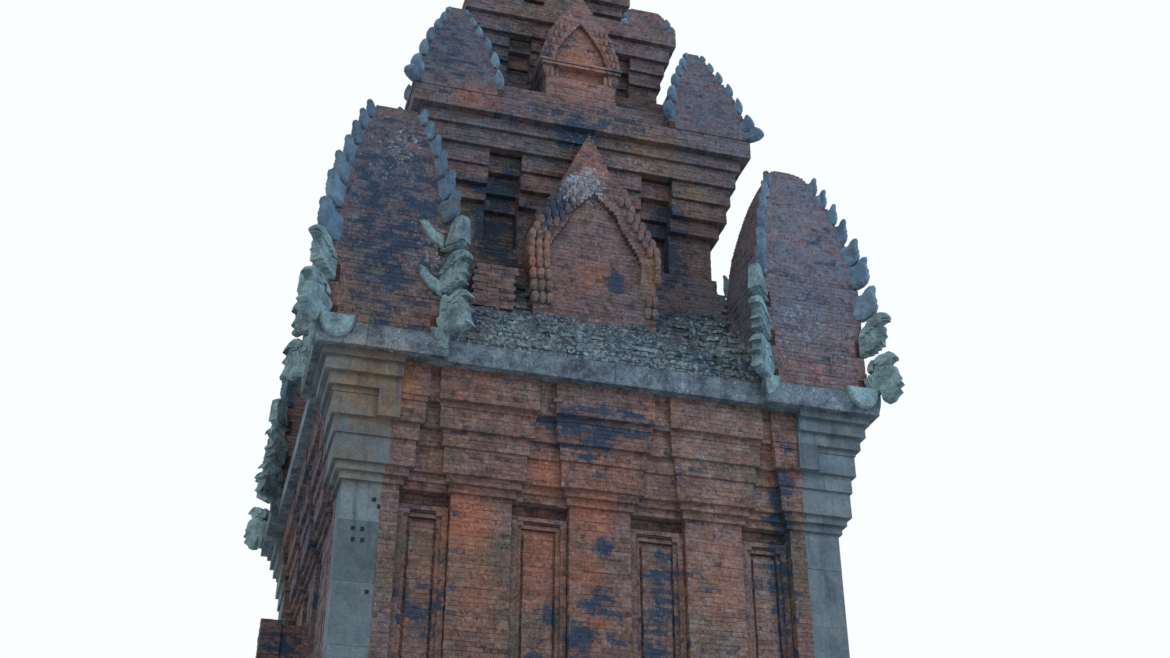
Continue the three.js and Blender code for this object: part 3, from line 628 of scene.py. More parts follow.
def carving(outline, strands):
    """A plate in the plane of a ridge, combed with curled strands."""
    parts = [pillow(outline, CARVING_THICK, 0.94)]
    for s, z, lean, length, hook in strands:
        for aside in STRAND_SPREAD:
            parts.append(tongue((s + aside, z), math.radians(lean), length, hook))
    return join_parts(parts)


def outward(obj):
    """Makes every closed shell of a mesh face outwards."""
    work = bmesh.new()
    work.from_mesh(obj.data)
    bmesh.ops.recalc_face_normals(work, faces=work.faces)
    work.to_mesh(obj.data)
    work.free()


def own_piece(name, shape, finish):
    """A piece with a mesh of its own, given its finish and its place on the tower."""
    obj = new_object(name, *shape)
    outward(obj)
    obj.data.materials.append(finish_named(finish))
    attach(obj, "root")
    return obj


# Node graphs


class Graph:
    """Adds linked nodes in few words."""

    def __init__(self, tree):
        self.tree = tree

    def set(self, socket, value):
        """Links a socket to a value that another node gives, or sets it to a plain one."""
        if isinstance(value, bpy.types.NodeSocket):
            self.tree.links.new(value, socket)
        else:
            socket.default_value = value

    def add(self, kind, inputs=None, **options):
        made = self.tree.nodes.new(kind)
        for key, value in options.items():
            setattr(made, key, value)
        for key, value in (inputs or {}).items():
            self.set(made.inputs[key], value)
        return made

    def math(self, operation, a, b=0.0, clamp=False):
        return self.add("ShaderNodeMath", {0: a, 1: b}, operation=operation, use_clamp=clamp).outputs[0]

    def vector(self, operation, a, b):
        return self.add("ShaderNodeVectorMath", {0: a, 1: b}, operation=operation).outputs[0]

    def total(self, *values):
        return reduce(lambda a, b: self.math("ADD", a, b), values)

    def product(self, a, b, clamp=False):
        return self.math("MULTIPLY", a, b, clamp)

    def noise(self, vector, scale, detail=4.0, rough=0.6):
        inputs = {"Vector": vector, "Scale": scale, "Detail": detail, "Roughness": rough}
        return self.add("ShaderNodeTexNoise", inputs).outputs["Fac"]

    def band(self, value, low, high, to_low=0.0, to_high=1.0):
        inputs = {"Value": value, "From Min": low, "From Max": high, "To Min": to_low, "To Max": to_high}
        return self.add("ShaderNodeMapRange", inputs, clamp=True).outputs["Result"]

    def mix(self, factor, a, b, blend="MIX"):
        a, b = (v if isinstance(v, bpy.types.NodeSocket) else (*v, 1.0) for v in (a, b))
        made = self.add("ShaderNodeMix", {0: factor, 6: a, 7: b}, data_type="RGBA", blend_type=blend)
        return made.outputs[2]

    def ramp(self, value, stops):
        made = self.add("ShaderNodeValToRGB", {"Fac": value})
        ramp = made.color_ramp
        while len(ramp.elements) < len(stops):
            ramp.elements.new(0.5)
        for element, (place, colour) in zip(ramp.elements, stops):
            element.position = place
            element.color = (*colour, 1.0)
        return made.outputs["Color"]

    def patches(self, vector, spots):
        """Soft patches about given places, strongest in the middle."""
        near = []
        for centre, reach, strength in spots:
            scaled = self.vector("DIVIDE", self.vector("SUBTRACT", vector, centre), reach)
            far = self.add("ShaderNodeVectorMath", {0: scaled}, operation="LENGTH").outputs["Value"]
            near.append(self.band(far, 1.25, 0.35, 0.0, strength))
        return reduce(lambda a, b: self.math("MAXIMUM", a, b), near)


@cache
def laying_tree():
    """Node tree that stands a piece on each point, sized and turned as the point says."""
    tree = bpy.data.node_groups.new("laid_pieces", "GeometryNodeTree")
    inputs = {
        "Geometry": "Geometry", "Piece": "Object", "Joint": "Float", "Stand out": "Float", "Uneven": "Float",
        "Chip": "Float", "Seed": "Int", "Finish": "Material",
    }
    for label, kind in inputs.items():
        tree.interface.new_socket(label, in_out="INPUT", socket_type=f"NodeSocket{kind}")
    tree.interface.new_socket("Geometry", in_out="OUTPUT", socket_type="NodeSocketGeometry")
    g = Graph(tree)

    def attribute(name, kind):
        return g.add("GeometryNodeInputNamedAttribute", {"Name": name}, data_type=kind).outputs["Attribute"]

    def out_of(kind, inputs, **options):
        return g.add(kind, inputs, **options).outputs[0]

    given = g.add("NodeGroupInput").outputs
    size = attribute("size", "FLOAT_VECTOR")
    turn = attribute("turn", "FLOAT")
    spread = {"Min": g.product(given["Uneven"], -1.0), "Max": given["Uneven"], "Seed": given["Seed"]}
    amount = g.add("FunctionNodeRandomValue", spread, data_type="FLOAT").outputs["Value"]
    inward = g.product(g.total(given["Stand out"], amount), -1.0)
    away = out_of("ShaderNodeCombineXYZ", {"Y": inward})
    away = out_of("ShaderNodeVectorRotate", {"Vector": away, "Angle": turn}, rotation_type="Z_AXIS")
    moved = out_of("GeometryNodeSetPosition", {"Geometry": given["Geometry"], "Offset": away})
    gap = out_of("ShaderNodeCombineXYZ", {"X": given["Joint"], "Z": given["Joint"]})
    piece = g.add("GeometryNodeObjectInfo", {"Object": given["Piece"]}).outputs["Geometry"]
    laid = out_of("GeometryNodeInstanceOnPoints", {
        "Points": moved, "Instance": piece, "Rotation": out_of("ShaderNodeCombineXYZ", {"Z": turn}),
        "Scale": g.vector("SUBTRACT", size, gap),
    })
    real = out_of("GeometryNodeRealizeInstances", {0: laid})
    rough = g.add("ShaderNodeTexNoise", {"Scale": CHIP_SCALE, "Detail": 1.0}).outputs["Color"]
    worn = out_of("ShaderNodeVectorMath", {
        0: g.vector("SUBTRACT", rough, (0.5, 0.5, 0.5)), "Scale": g.product(given["Chip"], 4.0),
    }, operation="SCALE")
    wandered = out_of("GeometryNodeSetPosition", {"Geometry": real, "Offset": worn})
    g.add("NodeGroupOutput", {
        0: out_of("GeometryNodeSetMaterial", {"Geometry": wandered, "Material": given["Finish"]}),
    })
    return tree


def lay_pieces(name, rows, piece, finish, joint=0.0, proud=0.0, uneven=0.0, chip=0.0, seed=1):
    """Lays a piece on each row of (place, size, turn, tone) and keeps the result as one plain mesh."""
    obj = new_object(name, [row[0] for row in rows], [])
    mesh = obj.data
    columns = (("size", "FLOAT_VECTOR", "vector"), ("turn", "FLOAT", "value"), ("tone", "FLOAT", "value"))
    for k, (label, kind, field) in enumerate(columns, 1):
        values = np.array([row[k] for row in rows], np.float32)
        mesh.attributes.new(label, kind, "POINT").data.foreach_set(field, values.ravel())
    template = new_object(name + "_piece", *piece)
    outward(template)
    tree = laying_tree()
    modifier = obj.modifiers.new("Laid", "NODES")
    modifier.node_group = tree
    ids = {s.name: s.identifier for s in tree.interface.items_tree if s.in_out == "INPUT"}
    values = {
        "Piece": template, "Joint": joint, "Stand out": proud, "Uneven": uneven, "Chip": chip, "Seed": seed,
        "Finish": finish_named(finish),
    }
    for label, value in values.items():
        modifier[ids[label]] = value
    bpy.context.view_layer.update()
    plain = bpy.data.meshes.new_from_object(obj.evaluated_get(bpy.context.evaluated_depsgraph_get()))
    obj.modifiers.clear()
    obj.data = plain
    bpy.data.meshes.remove(mesh)
    used = template.data
    bpy.data.objects.remove(template)
    bpy.data.meshes.remove(used)
    for extra in ("size", "turn"):
        if extra in plain.attributes:
            plain.attributes.remove(plain.attributes[extra])
    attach(obj, "root")
    return obj


# Faces of the solids, and the courses laid on them


def node_triangles(name):
    mesh = CAD_NODES[name].data
    mesh.calc_loop_triangles()
    co = np.empty(len(mesh.vertices) * 3)
    mesh.vertices.foreach_get("co", co)
    tri = np.empty(len(mesh.loop_triangles) * 3, np.int32)
    mesh.loop_triangles.foreach_get("vertices", tri)
    return co.reshape(-1, 3)[tri].reshape(-1, 3, 3)


@cache
def solid_tree():
    """Tree of all solids, to find faces that touch a neighbour."""
    points = np.concatenate([node_triangles(name).reshape(-1, 3) for name in CAD_NODES])
    faces = [(3 * i, 3 * i + 1, 3 * i + 2) for i in range(len(points) // 3)]
    return BVHTree.FromPolygons([tuple(p) for p in points], faces)


def to_side(points, turn):
    """Turns points so that the side looks along -Y."""
    c, s = QUARTERS[turn]
    x, y = points[..., 0], points[..., 1]
    turned = points.copy()
    turned[..., 0] = c * x + s * y
    turned[..., 1] = c * y - s * x
    return turned


def from_side(u, y, z, turn):
    """Turns a place on the front to one of the four sides."""
    c, s = QUARTERS[turn]
    return (c * u - s * y, s * u + c * y, z)


@cache
def upright_faces(names):
    """Groups of triangles that share an upright or leaning plane, under (turn, slope, offset)."""
    groups = {}
    for name in names:
        inside = HOLLOW.get(name, CHAMBER_HALF if name.endswith("wall") or "_wall_" in name else 0.0)
        tri = node_triangles(name)
        normals = np.cross(tri[:, 1] - tri[:, 0], tri[:, 2] - tri[:, 0])
        for t, n, size in zip(tri, normals, np.linalg.norm(normals, axis=1)):
            if size < 1e-8:
                continue
            n = n / size
            flat = math.hypot(n[0], n[1])
            if abs(n[2]) > STEEPEST or min(abs(n[0]), abs(n[1])) > SQUARE_TO * flat:
                continue
            if inside and np.abs(t[:, :2]).max() <= inside:
                continue
            if abs(n[1]) > abs(n[0]):
                turn = 0 if n[1] < 0 else 2
            else:
                turn = 1 if n[0] > 0 else 3
            side = to_side(t, turn)
            offset = -side[0, 1] * flat + side[0, 2] * n[2]
            key = (turn, round(float(n[2]), 2), round(float(offset), 3))
            groups.setdefault(key, []).append(side)
    return groups


def spans_at(triangles, z):
    """Stretches of a face at one height, and how far out it is there."""
    found = []
    for t in triangles:
        zs = t[:, 2]
        if zs.min() >= z or zs.max() <= z:
            continue
        hits = []
        for i in range(3):
            a, b = t[i], t[(i + 1) % 3]
            if (a[2] - z) * (b[2] - z) < 0:
                k = (z - a[2]) / (b[2] - a[2])
                hits.append(a + (b - a) * k)
        if len(hits) == 2:
            lo, hi = sorted((hits[0][0], hits[1][0]))
            found.append((lo, hi, (hits[0][1] + hits[1][1]) / 2))
    found.sort()
    merged = []
    for lo, hi, y in found:
        if merged and lo - merged[-1][1] < SAME_SPAN:
            merged[-1][1] = max(merged[-1][1], hi)
        else:
            merged.append([lo, hi, y])
    return [m for m in merged if m[1] - m[0] > NARROWEST]


def beds_of(triangles, course, top):
    """Foot and head of each course of a face, the last of height top if given, and the height of a course."""
    low = min(t[:, 2].min() for t in triangles)
    high = max(t[:, 2].max() for t in triangles)
    tall = high - low
    if tall < LOWEST_FACE:
        return [], course
    cap = top if top and tall > 3 * course else 0.0
    count = max(1, round((tall - cap) / course))
    step = (tall - cap) / count
    beds = [(low + r * step, low + (r + 1) * step) for r in range(count)]
    if cap:
        beds.append((high - cap, high))
    return beds, step


def brick_ends(lo, hi, length, shift, jitter, chance):
    """Where the bricks of one course end, in running bond and of uneven lengths."""
    shortest = SHORTEST_BRICK * length
    k = math.floor(lo / length - shift)
    ends = [lo]
    while True:
        k += 1
        end = (k + shift + chance.uniform(-jitter, jitter)) * length
        if end >= hi - shortest:
            return ends + [hi]
        if end > ends[-1] + shortest:
            ends.append(end)


def tone_about(middle, chance):
    return min(max(chance.gauss(middle, 0.2), 0.0), 1.0)


def roughness_at(place):
    """Share of broken bricks in the rough patches of the wall."""
    most = 0.0
    for centre, reach, strength in ROUGH:
        far = math.sqrt(sum(((p - c) / r) ** 2 for p, c, r in zip(place, centre, reach)))
        most = max(most, strength * max(0.0, 1.0 - far))
    return most


def courses(
    names, course, length, depth, seed, missing=0.0, extend=0.01, jitter=0.25, drop=0.005, top=0.0, sunk=0.0
):
    """Rows of bricks or blocks in running bond over the upright faces of some nodes."""
    chance = random.Random(seed)
    tree = solid_tree()
    rows = []
    for key, triangles in sorted(upright_faces(names).items(), key=lambda item: item[0]):
        turn = key[0]
        normal = Vector(from_side(0, -1, 0, turn))
        beds, step = beds_of(triangles, course, top)
        for r, (under, over) in enumerate(beds):
            z = (under + over) / 2
            shift = 0.5 * (round(z / step) % 2)
            bottom = under - (drop if r == 0 else 0.0)
            for lo, hi, y in spans_at(triangles, z):
                ends = brick_ends(lo - extend, hi + extend, length, shift, jitter, chance)
                for a, b in zip(ends, ends[1:]):
                    fallen = chance.random() < missing
                    tone = tone_about(0.5, chance)
                    place = Vector(from_side((a + b) / 2, y, z, turn))
                    hit, facing = tree.ray_cast(place + normal * OFF_FACE, normal)[:2]
                    if fallen or (hit is not None and facing.dot(normal) > 0):
                        continue
                    back = 0.0
                    worn = noise.noise(place * 0.9) + 0.5 * noise.noise(place * 2.7)
                    if sunk and chance.random() < sunk * (0.4 + 3.0 * max(0.0, worn)) + roughness_at(place):
                        back = chance.uniform(*SUNK_BACK)
                    far = tree.ray_cast(place - normal * BEHIND_FACE, -normal)[3]
                    deep = min(depth, THIN_SHARE * far) if far else depth
                    back = min(back, DENT_SHARE * deep)
                    middle = from_side((a + b) / 2, y + back + deep / 2, (bottom + over) / 2, turn)
                    rows.append((middle, (b - a, deep, over - bottom), turn * math.pi / 2, tone))
    return rows


def lay_bricks(name, names, seed, finish="brick", uneven=None):
    """Bricks over the upright faces of some nodes."""
    b = bpy.context.scene.temple_bricks
    rows = courses(names, b.course, b.length, b.depth, seed, b.missing, sunk=SUNK_SHARE)
    return lay_pieces(
        name, rows, unit_block(), finish, joint=b.joint, proud=b.proud,
        uneven=b.uneven if uneven is None else uneven, chip=b.chip, seed=seed,
    )


def lay_stones(name, names, seed, course, length, finish="stone", depth=0.3, top=0.0):
    """Stone blocks over the upright faces of some nodes."""
    s = bpy.context.scene.temple_stones
    rows = courses(names, course, length, depth, seed, extend=0.004, jitter=0.18, drop=0.004, top=top)
    return lay_pieces(
        name, rows, unit_block(), finish, joint=s.joint, proud=STONE_PROUD, uneven=STONE_UNEVEN,
        chip=STONE_CHIP, seed=seed,
    )


# Finishes


def new_material(name, colour, roughness):
    """A plain material."""
    material = bpy.data.materials.new(name)
    material.use_nodes = True
    shader = material.node_tree.nodes["Principled BSDF"]
    shader.inputs["Base Color"].default_value = (*colour, 1.0)
    shader.inputs["Roughness"].default_value = roughness
    return material


def times(colour, share):
    return tuple(c * share for c in colour)


class Finish(Graph):
    """Graph of a material, with what the finishes share."""

    def __init__(self, name, roughness, specular):
        self.material = new_material(name, UNPAINTED, roughness)
        super().__init__(self.material.node_tree)
        self.shader = self.tree.nodes["Principled BSDF"]
        self.shader.inputs["Specular IOR Level"].default_value = specular
        self.where = self.add("ShaderNodeTexCoord").outputs["Object"]

    def paint(self, key):
        return tuple(getattr(bpy.context.scene.temple_colours, key))

    def spread(self, scale, detail, rough=0.6):
        return self.noise(self.where, scale, detail, rough)

    def own_tone(self):
        """Tone that a laid piece was given."""
        return self.add("ShaderNodeAttribute", attribute_name="tone").outputs["Fac"]

    def facing_up(self):
        normal = self.add("ShaderNodeNewGeometry").outputs["Normal"]
        return self.add("ShaderNodeSeparateXYZ", {0: normal}).outputs["Z"]

    def height(self):
        return self.add("ShaderNodeSeparateXYZ", {0: self.where}).outputs["Z"]

    def done(self, colour, height, strength, distance):
        """Joins the colour and the bump to the material."""
        bump = self.add("ShaderNodeBump", {"Height": height, "Strength": strength, "Distance": distance})
        self.set(self.shader.inputs["Base Color"], colour)
        self.set(self.shader.inputs["Normal"], bump.outputs["Normal"])
        return self.material


def bare_brick(g, tone):
    """Colour of the brick itself: by tone, turning to olive and to pink in places."""
    brick = g.paint("brick")
    stops = [(0.16, times(brick, 0.26)), (0.34, times(brick, 0.62)), (0.52, times(brick, 0.95))]
    for place, shares in ((0.64, (1.3, 1.28, 1.2)), (0.78, (1.3, 1.7, 1.9)), (0.92, (1.6, 2.2, 2.6))):
        stops.append((place, tuple(v * share for v, share in zip(brick, shares))))
    colour = g.ramp(tone, stops)
    hue = g.noise(g.vector("ADD", g.where, HUE_OFFSET), 1.1, 6.0, 0.7)
    colour = g.mix(g.band(hue, 0.5, 0.62, 0.0, 0.7), colour, g.mix(tone, *OLIVE))
    return g.mix(g.band(hue, 0.5, 0.38, 0.0, 0.6), colour, g.mix(tone, *PINK))


def brick_finish(name, dark=0.0, grey=0.0, specks=0.0, tint=WHITE):
    """Weathered brick: mottled, each brick with its own tone, with mould, lichen and clean patches, and some
    painted sky light on the right
    """
    g = Finish(name, 0.93, 0.25)
    fresh, soot, lichen = g.paint("fresh"), g.paint("soot"), g.paint("lichen")
    broad = g.spread(0.45, 5.0, 0.62)
    middle = g.spread(1.7, 7.0, 0.7)
    blotch = g.spread(5.0, 7.0, 0.74)
    grit = g.spread(15.0, 5.0, 0.7)
    fine = g.spread(32.0, 6.0, 0.75)
    own = g.own_tone()
    # Tone: the brick's own, mottled, and paler in patches, the one on the right front turret being painted
    # sky light
    tone = g.total(
        g.product(own, 0.42), g.product(g.band(blotch, 0.36, 0.64), 0.34),
        g.product(g.band(grit, 0.36, 0.64), 0.24), g.product(g.patches(g.where, LIGHT), 0.13),
    )
    colour = bare_brick(g, tone)

    # Clean and rusty faces
    warm = g.band(g.spread(1.3, 7.0, 0.74), 0.54, 0.62, 0.0, 0.45)
    clean = g.product(g.patches(g.where, FRESH), g.band(middle, 0.34, 0.46), True)
    clean = g.math("MAXIMUM", g.product(warm, g.band(blotch, 0.34, 0.6)), clean)
    colour = g.mix(g.product(clean, 0.9), colour, g.mix(tone, times(fresh, 0.45), times(fresh, 1.3)))
    rusty = g.product(g.patches(g.where, OCHRE), g.band(middle, 0.36, 0.56, 0.0, 0.75), True)
    colour = g.mix(rusty, colour, g.mix(tone, *RUST))

    # Faces gone grey with age, more so higher up, and painted blue sky light on the right front turret
    greyed_and_skylit = g.total(
        g.band(g.height(), 9.9, 11.4, 0.0, 0.25), g.product(g.patches(g.where, GREY_AND_SKYLIT_PATCHES), 0.6),
        g.band(g.total(broad, g.product(blotch, 0.5)), 0.68, 0.95, 0.0, 0.5), grey,
    )
    greyed_and_skylit = g.math("SUBTRACT", greyed_and_skylit, g.product(clean, 0.5), True)
    greyed_and_skylit = g.product(greyed_and_skylit, g.band(blotch, 0.25, 0.6, 0.5, 1.0), True)
    colour = g.mix(greyed_and_skylit, colour, g.mix(tone, *AGE_AND_SKYLIT_GREY))

    # Black pits and stains, then mould
    single = g.product(g.math("SUBTRACT", own, 0.5), 0.26)
    ragged = g.total(g.spread(4.2, 9.0, 0.82), g.product(g.patches(g.where, SOOT), 0.2), dark, single)
    wild = g.band(g.total(g.spread(2.3, 9.0, 0.82), single), 0.56, 0.64, 0.0, 0.85)
    wild = g.product(wild, g.band(blotch, 0.4, 0.55))
    pits = g.band(g.spread(9.0, 4.0, 0.66), 0.6, 0.68, 0.0, 0.8)
    colour = g.mix(g.math("MAXIMUM", wild, pits), colour, g.mix(grit, *BLACKENED))
    wet = g.band(ragged, 0.6, 0.69, 0.0, 0.92)
    colour = g.mix(wet, colour, g.mix(grit, times(soot, 0.5), times(soot, 1.9)))

    # Pale growth, mostly on ledges, and painted sky light on the right of the front ledge
    pale = g.math("MAXIMUM", g.patches(g.where, PALE), g.band(g.facing_up(), 0.3, 0.9, 0.0, 0.8))
    growth = g.total(
        g.spread(17.0, 7.0, 0.76), g.product(pale, 0.14), g.product(g.math("SUBTRACT", middle, 0.5), 0.35)
    )
    growth = g.band(growth, 0.63 - specks, 0.72 - specks, 0.0, 0.8)
    colour = g.mix(growth, colour, g.mix(own, times(lichen, 0.55), times(lichen, 1.05)))
    grain = g.ramp(fine, [(0.34, times(tint, 0.58)), (0.66, times(tint, 1.4))])
    return g.done(g.mix(1.0, colour, grain, "MULTIPLY"), g.total(fine, blotch, grit), 0.6, 0.025)


def mortar_finish(name):
    """Dark old brick that shows in the joints and holes, and on faces without bricks of their own."""
    g = Finish(name, 0.95, 0.2)
    brick, soot, lichen = g.paint("brick"), g.paint("soot"), g.paint("lichen")
    course = g.math("FRACT", g.math("DIVIDE", g.height(), bpy.context.scene.temple_bricks.course))
    line = g.band(g.math("ABSOLUTE", g.math("SUBTRACT", course, 0.5)), 0.36, 0.48)
    middle = g.spread(3.0, 6.0, 0.65)
    fine = g.spread(24.0, 6.0, 0.7)
    colour = g.mix(g.band(middle, 0.35, 0.65), times(brick, 0.5), times(brick, 0.2))
    colour = g.mix(g.product(line, 0.6), colour, soot)
    growth = g.band(g.spread(5.0, 7.0, 0.7), 0.46, 0.62)
    growth = g.product(g.band(g.facing_up(), 0.4, 0.9), growth, True)
    colour = g.mix(growth, colour, times(lichen, 0.75))
    return g.done(colour, g.math("SUBTRACT", g.total(fine, middle), g.product(line, 0.8)), 0.8, 0.03)


def stone_finish(name, share=1.0, laid=True, pale=0.0, dirt=0.0, lichened=0.5, mottled=0.3, tint=WHITE):
    """Grey-green sandstone with dark runs, pale lichen and a little rust."""
    g = Finish(name, 0.88, 0.3)
    stone = tuple(v * share * t for v, t in zip(g.paint("stone"), tint))
    mould = times(g.paint("soot"), 1.3)
    tone = g.own_tone() if laid else g.spread(1.6, 2.0)
    middle = g.spread(1.9, 7.0, 0.66)
    fine = g.spread(30.0, 7.0, 0.74)
    streaks = g.add("ShaderNodeMapping", {"Vector": g.where, "Scale": (6.0, 6.0, 0.6)}).outputs[0]
    runs = g.noise(streaks, 1.0, 6.0, 0.64)
    light = (stone[0] * 1.35, stone[1] * 1.28, stone[2] * 1.2)
    colour = g.ramp(tone, [(0.1, times(stone, 0.72)), (0.5, stone), (0.9, light)])
    rusty = g.product(g.patches(g.where, OCHRE), g.band(runs, 0.3, 0.5), True)
    colour = g.mix(rusty, colour, g.mix(fine, *STONE_RUST))
    colour = g.mix(g.band(middle, 0.52, 0.7, 0.0, 0.55), colour, BROWNED_STONE)
    colour = g.mix(g.band(runs, 0.55, 0.7, 0.0, 0.7), colour, mould)
    grime = g.total(g.band(g.spread(3.4, 8.0, 0.74), 0.56, 0.68, 0.0, 0.5), dirt)
    grime = g.product(grime, g.band(middle, 0.34, 0.56), True)
    colour = g.mix(grime, colour, mould)
    growth = g.total(g.band(g.spread(9.0, 8.0, 0.8), 0.56, 0.68, 0.0, lichened), pale)
    growth = g.product(growth, g.band(fine, 0.36, 0.56), True)
    colour = g.mix(growth, colour, times(g.paint("lichen"), 0.8))
    grain = g.ramp(fine, [(0.25, times(WHITE, 0.66)), (0.75, times(WHITE, 1.26))])
    colour = g.mix(1.0, colour, grain, "MULTIPLY")
    uneven = g.ramp(g.spread(3.3, 9.0, 0.78), [(0.4, (0.38, 0.38, 0.4)), (0.6, (1.65, 1.65, 1.6))])
    colour = g.mix(mottled, colour, uneven, "MULTIPLY")
    return g.done(colour, g.total(fine, g.product(middle, 0.8)), 0.55, 0.02)


@cache
def finish_named(name):
    """Makes a finish the first time it is asked for."""
    # The dowel holes get a flat near-black: painted shade
    if name == "hole":
        return new_material("dark_hole", HOLE_SHADE_COLOUR, 1.0)
    if name == "mortar":
        return mortar_finish("old_joints")
    if name in BRICK_FINISHES:
        return brick_finish(**BRICK_FINISHES[name])
    return stone_finish(**STONE_FINISHES[name])


# Turrets, leaves and beasts


def width_at(profile, z):
    """Half width at a height, from a profile of (height, half width)."""
    for (z0, w0), (z1, w1) in zip(profile, profile[1:]):
        if z <= z1 and z1 > z0:
            return w0 + (w1 - w0) * max(z - z0, 0.0) / (z1 - z0)
    return profile[-1][1]


def worn_top(spec, corner):
    return spec["worn"].get(CORNERS[corner], UNWORN)


def ridge_angle(ridge, corner):
    return math.radians(45 + 90 * (ridge + corner))


def leaf_rows(spec, corner, chance):
    """One row for each leaf of a turret's four ridges: the inner one, two at the sides and the outer one."""
    rows = []
    at = spec["at"]
    root = math.sqrt(2)
    base = Vector(from_side(-at, -at, 0, corner))
    shares = (1.0, spec["side"], 1.0, spec.get("near", spec["side"]))
    for i, (tip, reach, height, thick) in enumerate(spec["leaves"]):
        foot = tip - height
        for ridge in range(4):
            inner = at > 0 and ridge == INNER_RIDGE
            if inner and i not in spec["inner"]:
                continue
            lowest = spec["lowest_outer"] if ridge == OUTER_RIDGE else spec["lowest"]
            if foot > worn_top(spec, corner) - LEAF_BELOW_TOP or tip < lowest:
                continue
            edge = width_at(spec["profile"], foot + 0.25 * height) * root
            edge_tip = width_at(spec["profile"], tip) * root
            end = edge + LEAF_PROUD
            if not inner:
                end = max((reach - at) * shares[ridge] * root, end)
            width = max(end - (edge + edge_tip) / 2, LEAF_LEAST)
            angle = ridge_angle(ridge, corner)
            place = base + Vector((math.cos(angle), math.sin(angle), 0)) * (end - width)
            place.z = foot
            wide = width * chance.uniform(*LEAF_WIDTHS)
            size = (wide, thick * LEAF_SWELL, height * chance.uniform(*LEAF_HEIGHTS))
            rows.append((tuple(place), size, angle, tone_about(0.55, chance)))
    return rows


def turret_core(spec, corner):
    """Tapered body of a turret, a little inside the bricks laid on it."""
    x, y, _ = from_side(-spec["at"], -spec["at"], 0, corner)
    top = worn_top(spec, corner)
    rings = [(z, w) for z, w in spec["profile"] if z < top]
    if top < UNWORN:
        rings.append((top, width_at(spec["profile"], top)))
    points = []
    for z, w in rings:
        points += [(x + sx * w, y + sy * w, z) for sx, sy in ((-1, -1), (1, -1), (1, 1), (-1, 1))]
    last = len(points) - 4
    return points, tube_faces(4, len(rings)) + [(3, 2, 1, 0), (last, last + 1, last + 2, last + 3)]


def dress_top(name, spec, corner, chance, outline, chip, seed):
    """Body and leaves of a turret or the crown, in place of its plain solid."""
    core = own_piece(f"{name}_body", turret_core(spec, corner), "mortar")
    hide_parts(name)
    rows = leaf_rows(spec, corner, chance)
    # The leaf finish is partly painted shade
    lay_pieces(f"{name}_leaves", rows, pillow(outline, 1.0), "leaf", chip=chip, seed=seed)


def turret_carvings(name, spec, corner):
    """Carved beasts, plates and wings at the foot of a lower turret's ridges."""
    base = Vector(from_side(-spec["at"], -spec["at"], 0, corner))
    parts = []
    for ridge, shapes in CARVINGS.items():
        spin = Matrix.Rotation(ridge_angle(ridge, corner), 4, "Z")
        for outline, strands in shapes:
            points, faces = carving(outline, strands)
            parts.append(([tuple(spin @ Vector(p) + base) for p in points], faces))
    half = width_at(spec["profile"], WING_FEET[0])
    points, faces = pillow(WING, 0.14, 0.84)
    for foot in WING_FEET:
        spots = [Vector(from_side(half + x, y - half, z + foot, corner)) for x, y, z in points]
        parts.append(([tuple(spot + base) for spot in spots], faces))
    own_piece(f"{name}_beasts", join_parts(parts), "carved")


def corner_stone_parts():
    """Half-round stones at the corners of the slab course, and pale wedges beside them, on all sides."""
    parts = []
    for outline, across, out, up in ((BOWL, *BOWL_PLACE), (WEDGE, *WEDGE_PLACE)):
        points, faces = pillow(outline, 0.16, 0.86)
        for turn in range(4):
            for flip in (1, -1):
                spots = [from_side(flip * (x - across), y - out, z + up, turn) for x, y, z in points]
                parts.append((spots, faces))
    return parts


# Operators


class TEMPLE_OT_solids(bpy.types.Operator):
    """Give the solids the finish that shows in the joints and on bare faces"""

    bl_idname = "temple.solids"
    bl_label = "Finish the solids"

    def execute(self, context):
        slots = {row["node"]: row.get("material_slot") for row in frame["record"]["subparts"]}
        for name, obj in CAD_NODES.items():
            finish = {"stone": "stone_core", "paving": "paving"}.get(slots.get(name), "mortar")
            obj.data.materials.clear()
            obj.data.materials.append(finish_named(finish))
        return {"FINISHED"}


class TEMPLE_OT_walls(bpy.types.Operator):
    """Lay the bricks of the four walls and the door bays"""

    bl_idname = "temple.walls"
    bl_label = "Wall bricks"

    def execute(self, context):
        for i, side in enumerate(SIDES):
            lay_bricks(f"{side}_wall_bricks", WALLS[side], seed=11 + i)
        for i, side in enumerate(SIDES[1:]):
            lay_bricks(f"false_door_{side}_bricks", (f"false_door_{side}",), seed=21 + i)
        return {"FINISHED"}


class TEMPLE_OT_stonework(bpy.types.Operator):
    """Lay the stone blocks of the piers, the slab course, the plinth, the steps and the doorway"""

    bl_idname = "temple.stonework"
    bl_label = "Stone blocks"

    def execute(self, context):
        s = context.scene.temple_stones
        for i, corner in enumerate(CORNERS):
            names = (f"corner_pier_{corner}",)
            lay_stones(f"pier_blocks_{corner}", names, 31 + i, s.course, s.length, top=CAPITAL_TOP)
        lay_stones("slab_blocks", ("main_cornice",), 41, SLAB_COURSE, s.slab_length, "slab", SLAB_DEPTH)
        for name, (names, seed, course, length, depth) in BLOCKWORK.items():
            lay_stones(name, names, seed, course, length, depth=depth)
        return {"FINISHED"}


